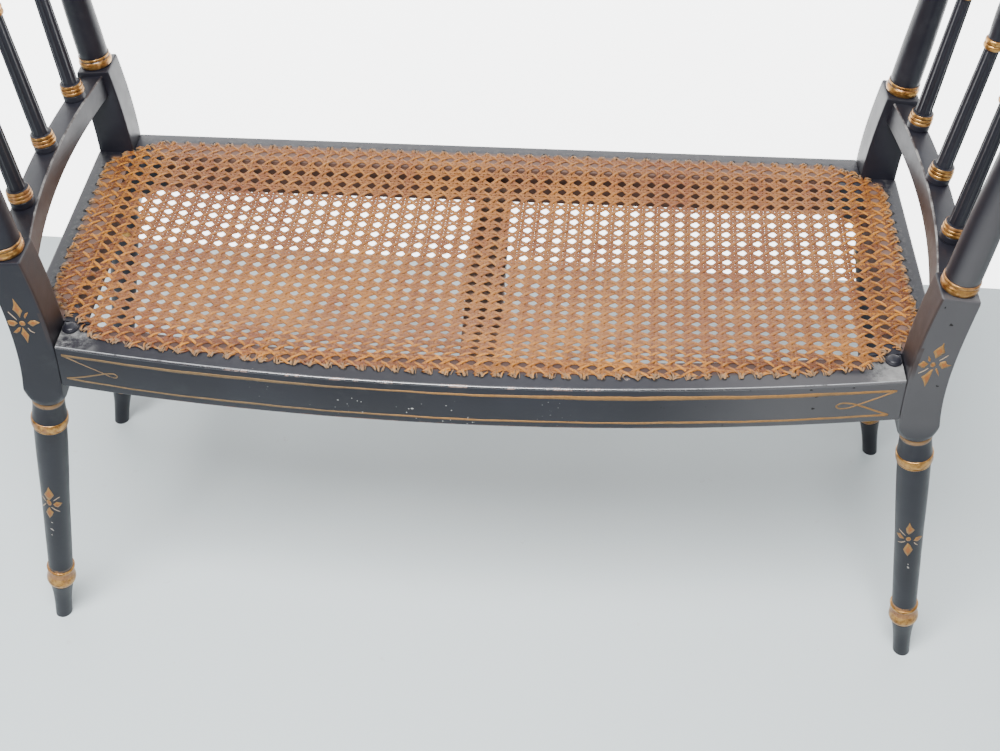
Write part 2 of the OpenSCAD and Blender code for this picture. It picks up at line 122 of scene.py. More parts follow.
class Nodes:
    """Short helpers for node trees."""

    def __init__(self, name):
        self.mat = bpy.data.materials.new(name)
        self.mat.use_nodes = True
        self.t = self.mat.node_tree
        self.t.nodes.clear()
        self.out = self.t.nodes.new("ShaderNodeOutputMaterial")
        self.b = self.t.nodes.new("ShaderNodeBsdfPrincipled")
        self.t.links.new(self.b.outputs[0], self.out.inputs[0])
        self.co = self.t.nodes.new("ShaderNodeTexCoord").outputs["Object"]

    def put(self, sock, v):
        if isinstance(v, bpy.types.NodeSocket):
            self.t.links.new(v, sock)
        elif isinstance(v, (tuple, list)) and len(v) == 3 and sock.type == "RGBA":
            sock.default_value = (*v, 1.0)
        else:
            sock.default_value = v

    def scaled(self, s, co=None):
        n = self.t.nodes.new("ShaderNodeMapping")
        self.t.links.new(co or self.co, n.inputs["Vector"])
        n.inputs["Scale"].default_value = s
        return n.outputs[0]

    def noise(self, scale, detail=4.0, rough=0.55, co=None, dist=0.0):
        n = self.t.nodes.new("ShaderNodeTexNoise")
        self.t.links.new(co or self.co, n.inputs["Vector"])
        n.inputs["Scale"].default_value = scale
        n.inputs["Detail"].default_value = detail
        n.inputs["Roughness"].default_value = rough
        n.inputs["Distortion"].default_value = dist
        return n.outputs["Fac"]

    def voronoi(self, scale, co=None):
        n = self.t.nodes.new("ShaderNodeTexVoronoi")
        self.t.links.new(co or self.co, n.inputs["Vector"])
        n.inputs["Scale"].default_value = scale
        return n.outputs["Distance"]

    def step(self, v, a, b):
        """0 below a, 1 above b, smooth between; a may exceed b."""
        n = self.t.nodes.new("ShaderNodeMapRange")
        n.interpolation_type = "SMOOTHSTEP"
        self.put(n.inputs["Value"], v)
        lo, hi, x, y = (a, b, 0.0, 1.0) if a < b else (b, a, 1.0, 0.0)
        n.inputs["From Min"].default_value = lo
        n.inputs["From Max"].default_value = hi
        n.inputs["To Min"].default_value = x
        n.inputs["To Max"].default_value = y
        return n.outputs[0]

    def span(self, v, a, b):
        n = self.t.nodes.new("ShaderNodeMapRange")
        self.put(n.inputs["Value"], v)
        n.inputs["To Min"].default_value = a
        n.inputs["To Max"].default_value = b
        return n.outputs[0]

    def math(self, op, a, b=0.0, clamp=False):
        n = self.t.nodes.new("ShaderNodeMath")
        n.operation = op
        n.use_clamp = clamp
        self.put(n.inputs[0], a)
        self.put(n.inputs[1], b)
        return n.outputs[0]

    def mul(self, *v):
        o = v[0]
        for x in v[1:]:
            o = self.math("MULTIPLY", o, x)
        return o

    def mix(self, f, a, b, mode="MIX"):
        n = self.t.nodes.new("ShaderNodeMix")
        n.data_type = "RGBA"
        n.blend_type = mode
        self.put(n.inputs[0], f)
        self.put(n.inputs[6], a)
        self.put(n.inputs[7], b)
        return n.outputs[2]

    def xyz(self):
        n = self.t.nodes.new("ShaderNodeSeparateXYZ")
        self.t.links.new(self.co, n.inputs[0])
        return n.outputs

    def attr(self, name):
        n = self.t.nodes.new("ShaderNodeAttribute")
        n.attribute_name = name
        return n.outputs["Fac"]

    def bump(self, h, strength, dist):
        n = self.t.nodes.new("ShaderNodeBump")
        n.inputs["Strength"].default_value = strength
        n.inputs["Distance"].default_value = dist
        self.put(n.inputs["Height"], h)
        self.t.links.new(n.outputs[0], self.b.inputs["Normal"])

    def set(self, **kw):
        names = {"color": "Base Color", "rough": "Roughness", "metal": "Metallic", "ior": "IOR",
                 "spec": "Specular IOR Level", "coat": "Coat Weight", "coat_rough": "Coat Roughness"}
        for k, v in kw.items():
            self.put(self.b.inputs[names[k]], v)
        return self.mat


def paint_material(name, wear=0.0, brown=0.0, corners=False, chips=0.25, front_only=False, flecks=False, low=False,
                   under="", gloss_and_highlight=False):
    """Aged black paint: wear is grey rubbing, brown shows the old wood, chips are light specks."""
    n = Nodes(name)
    big = n.noise(7.0, 3.0)
    fine = n.noise(55.0, 5.0, 0.65)
    grain = n.noise(30.0, 4.0, 0.6, n.scaled((0.35, 1.0, 1.0)))
    col = n.mix(n.step(big, 0.35, 0.7), (0.0088, 0.0085, 0.0130), (0.0150, 0.0153, 0.0215))
    col = n.mix(n.mul(n.step(fine, 0.5, 0.8), 0.5), col, (0.024, 0.025, 0.028))
    rough = n.span(n.math("MULTIPLY", fine, n.math("ADD", big, 0.35)), 0.26, 0.58)
    x, y, z = n.xyz()
    # painted sheen: the front faces turn greyer towards the right
    painted_sheen = n.mul(n.step(x, 0.13, 0.32), n.step(y, -0.150, -0.158), n.step(z, 0.36, 0.40))
    col = n.mix(n.mul(painted_sheen, n.span(big, 0.55, 0.95)), col, (0.068, 0.065, 0.068))
    if brown:
        b = n.step(n.math("ADD", n.mul(grain, 0.6), n.mul(big, 0.55)), 0.62 - 0.3 * brown, 0.86 - 0.3 * brown)
        b = n.mul(b, n.step(z, 0.450, 0.472))
        if front_only:
            b = n.mul(b, n.step(y, 0.10, -0.03))
        col = n.mix(n.mul(b, 0.85), col, n.mix(fine, (0.018, 0.011, 0.010), (0.042, 0.026, 0.023)))
    if wear:
        w = n.step(n.math("ADD", n.mul(n.noise(38.0, 5.0, 0.7), 0.7), n.mul(fine, 0.35)), 0.74 - 0.3 * wear, 0.84 - 0.22 * wear)
        if gloss_and_highlight:
            w = n.mul(w, n.step(n.math("ABSOLUTE", n.math("ADD", x, 0.02)), 0.34, 0.20))
        col = n.mix(n.mul(w, 0.85), col, n.mix(n.noise(160.0, 3.0), (0.10, 0.10, 0.098), (0.40, 0.385, 0.37)))
        pink = n.mul(n.step(n.math("ABSOLUTE", n.math("ADD", x, 0.06)), 0.26, 0.12), n.step(n.noise(70.0, 4.0, 0.7), 0.50, 0.62))
        col = n.mix(n.mul(pink, 0.75), col, n.mix(fine, (0.07, 0.022, 0.013), (0.46, 0.33, 0.28)))
        rough = n.math("ADD", rough, n.mul(w, 0.15), True)
    if low:
        pk = n.mul(n.step(n.math("ABSOLUTE", n.math("ADD", x, 0.05)), 0.30, 0.16), n.step(n.noise(26.0, 4.0, 0.7), 0.38, 0.55))
        if flecks:
            pk = n.mul(pk, n.step(n.math("ADD", z, n.mul(fine, 0.0014)), LOW_Z + 0.0022, LOW_Z + 0.0012))
        col = n.mix(n.mul(pk, 0.8), col, n.mix(fine, (0.09, 0.03, 0.018), (0.34, 0.17, 0.12)))
    if flecks:
        zone = n.mul(n.step(n.math("ABSOLUTE", n.math("ADD", x, 0.06)), 0.17, 0.05), n.step(z, 0.447, 0.437))
        fl = n.mul(n.step(n.voronoi(120.0, n.scaled((0.8, 1.0, 1.2))), 0.15, 0.09), n.step(n.noise(33.0, 2.0), 0.56, 0.60))
        sm = n.mul(n.step(n.voronoi(210.0), 0.15, 0.09), n.step(n.noise(21.0, 2.0), 0.54, 0.60))
        col = n.mix(n.mul(n.math("MAXIMUM", fl, sm), zone, 0.9), col, (0.50, 0.49, 0.47))
        pits = n.step(n.noise(130.0, 2.0), 0.74, 0.77)
        col = n.mix(n.mul(pits, 0.9), col, (0.004, 0.004, 0.004))
    if corners:
        ax = n.math("ABSOLUTE", x)
        near = n.mul(n.step(ax, 0.352, 0.385), n.step(y, -0.128, -0.142))
        p = n.step(n.math("ADD", n.noise(34.0, 6.0, 0.75), n.mul(near, 0.14)), 0.46, 0.68)
        p = n.mul(p, near)
        col = n.mix(n.mul(p, 0.8), col, n.mix(n.noise(120.0, 3.0), (0.10, 0.10, 0.098), (0.40, 0.395, 0.385)))
        rough = n.math("ADD", rough, n.mul(p, 0.25), True)
        # a few bare flecks along the middle of the rail
        mid = n.mul(n.step(ax, 0.30, 0.2), n.step(n.noise(60.0, 5.0, 0.75), 0.685, 0.72))
        col = n.mix(n.mul(mid, 0.8), col, n.mix(fine, (0.22, 0.13, 0.09), (0.40, 0.37, 0.34)))
    if under:
        # bare brown wood below the cane, inside the line of holes
        if under == "side":
            um = n.mul(n.step(n.math("ABSOLUTE", x), 0.4235, 0.4195), n.step(y, 0.150, 0.138), n.step(y, -0.125, -0.112))
        elif under == "rear":
            um = n.mul(n.step(y, 0.1765, 0.1725), n.step(n.math("ABSOLUTE", x), 0.385, 0.37))
        else:
            bow = n.mul(x, x, -0.1865)
            um = n.mul(n.step(n.math("ADD", y, bow), -0.1735, -0.1695), n.step(n.math("ABSOLUTE", x), 0.375, 0.36))
        lo_c, hi_c = ((0.026, 0.014, 0.011), (0.090, 0.050, 0.040)) if under == "front" else ((0.078, 0.045, 0.034), (0.205, 0.120, 0.092))
        col = n.mix(n.mul(um, 0.92), col, n.mix(n.math("MAXIMUM", fine, grain), lo_c, hi_c))
        rough = n.math("ADD", rough, n.mul(um, 0.3), True)
        # dust that gathers along the holes
        if under != "front":
            dm = n.mul(n.step(n.math("ABSOLUTE", x), 0.418, 0.424) if under == "side" else n.step(y, 0.171, 0.176),
                       n.step(n.math("ABSOLUTE", x), 0.434, 0.428) if under == "side" else n.step(y, 0.186, 0.180))
            col = n.mix(n.mul(dm, n.step(n.noise(220.0, 4.0, 0.7), 0.45, 0.7), 0.5), col, (0.075, 0.072, 0.070))
    if chips:
        spot = n.mul(n.step(n.voronoi(230.0), 0.13, 0.07), n.step(n.noise(16.0, 3.0, 0.7), 0.74 - 0.12 * chips, 0.80 - 0.12 * chips))
        col = n.mix(spot, col, (0.42, 0.43, 0.42))
        pit = n.mul(n.step(n.voronoi(120.0, n.scaled((1.3, 1.0, 1.0))), 0.12, 0.06), n.step(n.noise(23.0, 2.0), 0.60, 0.66))
        col = n.mix(n.mul(pit, 0.8), col, (0.004, 0.004, 0.004))
    n.bump(n.math("ADD", n.mul(n.noise(90.0, 4.0, 0.6), 0.6), n.mul(n.noise(420.0, 2.0), 0.25)), 0.10, 0.0012)
    if gloss_and_highlight:
        # painted highlight: a thin light line on the crown of the edge, towards both ends
        band = n.mul(n.step(z, 0.45172, 0.45184), n.step(n.math("ABSOLUTE", n.math("ADD", x, 0.02)), 0.14, 0.26), n.step(fine, 0.36, 0.46))
        col = n.mix(n.mul(band, 0.8), col, (0.34, 0.35, 0.36))
        return n.set(color=col, rough=n.math("MULTIPLY", rough, 0.6), spec=0.9, ior=1.5, coat=0.8, coat_rough=0.12)
    return n.set(color=col, rough=rough, spec=0.24, ior=1.5, coat=0.04, coat_rough=0.3)


def gilt_material(name, wear=0.45, dark=0.3):
    n = Nodes(name)
    a = n.noise(48.0, 5.0, 0.7)
    b = n.noise(170.0, 4.0, 0.6)
    big = n.noise(20.0, 2.0)
    col = n.mix(n.step(b, 0.33, 0.68), (0.20, 0.086, 0.018), (0.46, 0.255, 0.076))
    red = n.step(a, 0.56 - 0.16 * wear, 0.68 - 0.16 * wear)
    col = n.mix(n.mul(red, 0.7), col, n.mix(b, (0.17, 0.064, 0.022), (0.27, 0.118, 0.040)))
    blk = n.step(n.math("ADD", n.mul(big, 0.6), n.mul(a, 0.4)), 0.66 - 0.12 * dark, 0.70 - 0.12 * dark)
    col = n.mix(n.mul(blk, 0.9), col, (0.018, 0.015, 0.013))
    metal = n.math("SUBTRACT", 0.8, n.math("MAXIMUM", n.mul(red, 0.55), n.mul(blk, 0.8)), True)
    n.bump(n.math("ADD", n.mul(a, 0.6), n.mul(b, 0.3)), 0.14, 0.0008)
    return n.set(color=col, rough=n.span(b, 0.23, 0.36), metal=metal, spec=0.5)


def line_material(name, base=(0.105, 0.060, 0.024), light=(0.215, 0.135, 0.060), fade=0.35, warm=True):
    """Gold paint of the lines and sprigs, rubbed through to the black here and there."""
    n = Nodes(name)
    a = n.noise(75.0, 5.0, 0.7)
    b = n.noise(260.0, 3.0)
    col = n.mix(b, base, light)
    if warm:
        x = n.xyz()[0]
        mid = n.mul(n.step(x, -0.17, -0.02), n.step(n.noise(14.0, 2.0), 0.26, 0.44))
        col = n.mix(n.mul(mid, 0.8), col, n.mix(b, (0.20, 0.090, 0.022), (0.36, 0.18, 0.045)))
    gone = n.step(a, 0.66 - 0.1 * fade, 0.74 - 0.1 * fade)
    col = n.mix(n.mul(gone, 0.85), col, (0.06, 0.04, 0.024))
    n.bump(b, 0.15, 0.0005)
    return n.set(color=col, rough=n.span(a, 0.35, 0.6), metal=0.35, spec=0.4)


def cane_material():
    n = Nodes("woven_cane")
    tone = n.attr("tone")
    x, y, z = n.xyz()
    a = n.noise(26.0, 4.0, 0.6)
    b = n.noise(260.0, 5.0, 0.75)
    mid = n.mix(tone, (0.150, 0.050, 0.018), (0.335, 0.147, 0.045))
    edge = n.mix(n.step(tone, 0.15, 0.95), (0.085, 0.023, 0.007), (0.46, 0.180, 0.020))
    ax = n.math("ABSOLUTE", x)
    side = n.mul(n.step(ax, 0.345, 0.385), n.step(y, -0.15, -0.09))
    front = n.math("MAXIMUM", n.mul(n.step(n.math("ADD", y, n.mul(ax, ax, -0.09)), -0.108, -0.150), 0.8), side)
    col = n.mix(front, mid, edge)
    rear = n.mul(n.step(y, 0.085, 0.115), n.step(ax, 0.40, 0.36))
    col = n.mix(n.mul(rear, 0.15), col, (0.16, 0.055, 0.02))
    # the weave has gone yellow in some places and red-brown in others
    big = n.noise(7.5, 3.0, 0.6)
    col = n.mix(n.mul(n.step(big, 0.50, 0.64), 0.30), col, (0.41, 0.165, 0.024))
    col = n.mix(n.mul(n.step(big, 0.48, 0.36), 0.48), col, (0.150, 0.047, 0.024))
    col = n.mix(n.mul(n.step(a, 0.48, 0.72), 0.45), col, (0.165, 0.044, 0.018))
    col = n.mix(n.mul(n.step(b, 0.54, 0.72), 0.7), col, (0.060, 0.018, 0.010))
    # painted highlight: the raised crests of the strands turn bright orange, most strongly near the edges of the panel
    near = n.math("MAXIMUM", front, n.mul(n.step(y, 0.095, 0.125), 0.8))
    bright = n.mul(n.step(n.attr("crest_highlight"), 0.15, 0.75), n.span(n.noise(75.0, 3.0, 0.7), -0.25, 0.85), n.span(near, 0.55, 1.0))
    col = n.mix(bright, col, (0.50, 0.205, 0.026))
    c = n.noise(620.0, 3.0, 0.7)
    col = n.mix(n.mul(n.step(c, 0.53, 0.68), 0.8), col, (0.065, 0.020, 0.010))
    col = n.mix(n.mul(n.step(c, 0.46, 0.32), 0.40), col, (0.38, 0.20, 0.060))
    # dusty, paler ends at the holes
    col = n.mix(n.mul(n.step(n.attr("tip"), 0.2, 0.9), 0.8), col, n.mix(n.noise(150.0, 4.0, 0.7), (0.045, 0.028, 0.020), (0.40, 0.27, 0.155)))
    n.bump(n.noise(520.0, 2.0, 0.5, n.scaled((1.0, 1.0, 0.4))), 0.25, 0.0005)
    return n.set(color=col, rough=n.span(b, 0.36, 0.6), spec=0.25)


def plain_material(name, c0, c1, rough=0.7, scale=20.0, spec=0.35):
    n = Nodes(name)
    a = n.noise(scale, 4.0, 0.6)
    n.bump(n.noise(scale * 8, 3.0), 0.15, 0.0006)
    return n.set(color=n.mix(a, c0, c1), rough=n.span(a, rough - 0.08, min(1.0, rough + 0.08)), spec=spec)


def wood_material():
    n = Nodes("bare_wood")
    g = n.noise(24.0, 5.0, 0.65, n.scaled((6.0, 0.5, 6.0)), 0.6)
    col = n.mix(g, (0.078, 0.050, 0.038), (0.225, 0.140, 0.104))
    n.bump(g, 0.25, 0.0008)
    return n.set(color=col, rough=n.span(g, 0.5, 0.75), spec=0.35)


PAINT = paint_material("black_paint")
PAINT_FACE = paint_material("black_paint_rail_face", flecks=True, low=True)
PAINT_LOW = paint_material("black_paint_lower_edge", low=True, wear=0.05)
PAINT_TOP = paint_material("black_paint_rail_top", corners=True, chips=0.5, under="front")
PAINT_PEG = paint_material("black_paint_peg", chips=0.5)
PAINT_SIDE = paint_material("black_paint_side_top", chips=0.8, under="side")
PAINT_REAR = paint_material("black_paint_rear_top", chips=0.5, under="rear")
# worn edge paint, glossy, with a painted highlight line along its crown
PAINT_EDGE = paint_material("black_paint_worn_edge_highlight", wear=0.5, chips=0.4, gloss_and_highlight=True)
PAINT_EDGE_SOFT = paint_material("black_paint_soft_edge", wear=0.2, chips=0.4)
PAINT_BROWN = paint_material("black_paint_brown", brown=1.0, front_only=True)
PAINT_BROWN_ALL = paint_material("black_paint_brown_all", brown=0.8)
ARM_EDGE = paint_material("arm_rail_worn_edge", wear=0.95, brown=0.8, chips=0.2)
GILT = gilt_material("gilding")
GILT_DULL = gilt_material("gilding_dull", wear=1.5, dark=0.6)
# painted shade: darker, redder gold for the grooves and the flanks of the beads
GILT_GROOVE_SHADE = gilt_material("gilding_groove_shade", wear=2.2, dark=1.3)
LINE = line_material("gold_line")
SPRIG = line_material("gold_sprig", (0.215, 0.060, 0.014), (0.315, 0.122, 0.027), 0.2, False)
SPRIG_EDGE = line_material("gold_sprig_edge", (0.20, 0.100, 0.026), (0.34, 0.185, 0.055), 0.3, False)
SPRIG_PALE = line_material("gold_sprig_pale", (0.28, 0.20, 0.13), (0.45, 0.35, 0.25), 0.3, False)
NECK = line_material("gold_neck_band", (0.17, 0.090, 0.036), (0.29, 0.165, 0.075), 0.5, False)
CANE = cane_material()
WOOD = wood_material()
RED_WOOD = plain_material("rail_inner_red_brown", (0.042, 0.023, 0.017), (0.135, 0.072, 0.054), 0.85, 30.0, 0.06)
CHIP = plain_material("bare_ground_chip", (0.26, 0.24, 0.215), (0.40, 0.38, 0.35), 0.7, 90.0)
# near-black: painted shade inside the cane holes, also the colour of the dark knocks
HOLE = plain_material("cane_hole", (0.0035, 0.003, 0.003), (0.010, 0.009, 0.009), 0.85, 90.0)

# ---------------------------------------------------------------- meshes


def mesh_obj(name, verts, faces, mats, idx=None, sharp=40.0, slot="ebonised_wood", attrs=None):
    me = bpy.data.meshes.new(name)
    v = np.asarray(verts, float) * 0.001
    me.from_pydata(v.tolist(), [], faces)
    for mt in mats:
        me.materials.append(mt)
    me.polygons.foreach_set("use_smooth", [True] * len(me.polygons))
    if idx is not None:
        me.polygons.foreach_set("material_index", list(idx))
    for k, vals in (attrs or {}).items():
        me.attributes.new(k, "FLOAT", "POINT").data.foreach_set("value", list(vals))
    me.validate()
    bm = bmesh.new()
    bm.from_mesh(me)
    if all(e.is_manifold for e in bm.edges):
        bmesh.ops.recalc_face_normals(bm, faces=bm.faces)
        bm.to_mesh(me)
    bm.free()
    if sharp:
        me.set_sharp_from_angle(angle=math.radians(sharp))
    me.update()
    o = bpy.data.objects.new(name, me)
    bpy.context.scene.collection.objects.link(o)
    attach(o, "root")
    return o


class Build:
    """Collects verts and faces of several shells into one mesh."""

    def __init__(self):
        self.v, self.f, self.i = [], [], []

    def add(self, verts, faces, idx=0, xf=None):
        base = len(self.v)
        verts = np.asarray(verts, float)
        if xf is not None:
            verts = xf(verts)
        self.v.extend(verts.tolist())
        self.f.extend([[base + k for k in f] for f in faces])
        self.i.extend([idx] * len(faces) if isinstance(idx, int) else list(idx))

    def mirrored(self):
        b = Build()
        b.v = [[-p[0], p[1], p[2]] for p in self.v]
        b.f = [f[::-1] for f in self.f]
        b.i = list(self.i)
        return b

    def obj(self, name, mats, **kw):
        return mesh_obj(name, self.v, self.f, mats, self.i, **kw)


def loft(rings, idx=None, caps=(True, True), closed=True):
    """Quads between successive rings; idx(k, s) gives the material of the quad after ring k, side s."""
    n = len(rings[0])
    v = np.concatenate([np.asarray(r_, float) for r_ in rings])
    f, mi = [], []
    for k in range(len(rings) - 1):
        for s in range(n if closed else n - 1):
            t = (s + 1) % n
            f.append([k * n + s, k * n + t, (k + 1) * n + t, (k + 1) * n + s])
            mi.append(idx(k, s) if idx else 0)
    if caps[0]:
        f.append([s for s in range(n)][::-1])
        mi.append(idx(0, 0) if idx else 0)
    if caps[1]:
        b = (len(rings) - 1) * n
        f.append([b + s for s in range(n)])
        mi.append(idx(len(rings) - 2, 0) if idx else 0)
    return v, f, mi


def crom(pts, n):
    """Smooth curve through 2-D points (centripetal Catmull-Rom), n points a span."""
    p = [np.array(q, float) for q in pts]
    p = [2 * p[0] - p[1]] + p + [2 * p[-1] - p[-2]]
    out = []
    for k in range(1, len(p) - 2):
        a, b, c, d = p[k - 1:k + 3]
        t0 = 0.0
        t1 = t0 + max(1e-6, np.linalg.norm(b - a)) ** 0.5
        t2 = t1 + max(1e-6, np.linalg.norm(c - b)) ** 0.5
        t3 = t2 + max(1e-6, np.linalg.norm(d - c)) ** 0.5
        for j in range(n):
            t = t1 + (t2 - t1) * j / n
            a1 = (t1 - t) / (t1 - t0) * a + (t - t0) / (t1 - t0) * b
            a2 = (t2 - t) / (t2 - t1) * b + (t - t1) / (t2 - t1) * c
            a3 = (t3 - t) / (t3 - t2) * c + (t - t2) / (t3 - t2) * d
            b1 = (t2 - t) / (t2 - t0) * a1 + (t - t0) / (t2 - t0) * a2
            b2 = (t3 - t) / (t3 - t1) * a2 + (t - t1) / (t3 - t1) * a3
            out.append(((t2 - t) / (t2 - t1) * b1 + (t - t1) / (t2 - t1) * b2).tolist())
    out.append(list(pts[-1]))
    return out


def bead(r0, r1, u0, u1, n=8, p=0.5):
    """A rounded ring from radius r0 out to r1 between heights u0 and u1."""
    return [[r0 + (r1 - r0) * math.sin(math.pi * k / n) ** p, u0 + (u1 - u0) * (1 - math.cos(math.pi * k / n)) / 2]
            for k in range(n + 1)]


def beads(r0, r1, u0, u1, n=8, p=0.6, m=1, g=2):
    """A bead as sections: its two flanks take the groove material, a darker gold that paints the shade in the grooves.
    """
    q = bead(r0, r1, u0, u1, n, p)
    return [(q[:2], g), (q[1:-1], m), (q[-2:], g)]


def lathe(sections, n=64, flute=None, cap=(True, True)):
    """sections: [(points [(r, u)], material)]. flute(u) gives (count, depth) of fluting."""
    prof, mat = [], []
    for pts, mt in sections:
        for q in pts:
            if prof and abs(prof[-1][0] - q[0]) < 1e-6 and abs(prof[-1][1] - q[1]) < 1e-6:
                continue
            if prof:
                mat.append(mt)
            prof.append(q)
    rings = []
    for r_, u in prof:
        cnt, depth = flute(u) if flute else (0, 0.0)
        ring = []
        for k in range(n):
            th = 2 * math.pi * k / n
            rr = r_ - (depth * abs(math.sin(cnt * th / 2)) if depth else 0.0)
            ring.append([rr * math.cos(th), rr * math.sin(th), u])
        rings.append(ring)
    return loft(rings, lambda k, s: mat[k], cap)


def rot_y(a):
    """Turns points about the Y axis so that +Z leans towards +X by angle a."""
    c, s = math.cos(a), math.sin(a)
    return lambda p: np.stack([p[:, 0] * c + p[:, 2] * s, p[:, 1], -p[:, 0] * s + p[:, 2] * c], 1)


def shift(dx, dy, dz):
    return lambda p: p + np.array([dx, dy, dz])


def chain(*fs):
    def run(p):
        for g in fs:
            p = g(p)
        return p
    return run


def rrect(x0, x1, y0, y1, rs, k=4):
    """Rounded rectangle, anticlockwise from the lower left corner; rs radii: ll, lr, ur, ul. Returns points and, per side after each point, its part name."""
    pts, tag = [], []
    for (cx, cy, r_, a0, corner, side) in ((x0, y0, rs[0], 180, "ll", "bottom"), (x1, y0, rs[1], 270, "lr", "right"),
                                           (x1, y1, rs[2], 0, "ur", "top"), (x0, y1, rs[3], 90, "ul", "left")):
        ox = cx + (r_ if cx == x0 else -r_)
        oy = cy + (r_ if cy == y0 else -r_)
        for j in range(k + 1):
            a = math.radians(a0 + 90 * j / k)
            pts.append([ox + r_ * math.cos(a), oy + r_ * math.sin(a)])
            tag.append(corner if j < k else side)
    return pts, tag


# ------------------------------------------------------------ block outline
B0, B1, B2, B3 = (np.array(q) for q in ([LEG_X - 1.2, -78.0], [CI + 13.6, -20.0], [CI + 18.0, 40.0], [BLK_X - 0.2, 97.3]))


def bez(t):
    return (1 - t) ** 3 * B0 + 3 * t * (1 - t) ** 2 * B1 + 3 * t * t * (1 - t) * B2 + t ** 3 * B3


def bez_d(t):
    return 3 * (1 - t) ** 2 * (B1 - B0) + 6 * t * (1 - t) * (B2 - B1) + 3 * t * t * (B3 - B2)


def blk_w(t):
    return 38.4 - 3.2 * t + 1.6 * t * t - 1.6 * t ** 6


def blk_side(t, s):
    d = bez_d(t)
    d = d / np.linalg.norm(d)
    return bez(t) + s * blk_w(t) / 2 * np.array([d[1], -d[0]])


_inner = [blk_side(k / 60, -1) for k in range(61)]
_outer = [blk_side(k / 60, 1) for k in range(61)]


def face_x(z, table=_inner):
    """x of the block's inner (or outer) face at height z above or below the seat top."""
    zs = [q[1] for q in table]
    return float(np.interp(z, zs, [q[0] for q in table]))


SHOULDER = [(-0.6, 15.4), (0.2, 16.1), (1.3, 17.2), (4.4, 19.4), (8.4, 21.4), (13.4, 23.4), (18.4, 25.2), (23, 26.6), (60, 40), (220, 60)]


def softmin(a, b, k=3.0):
    m_ = min(a, b)
    return m_ - math.log(math.exp(-k * (a - m_)) + math.exp(-k * (b - m_))) / k


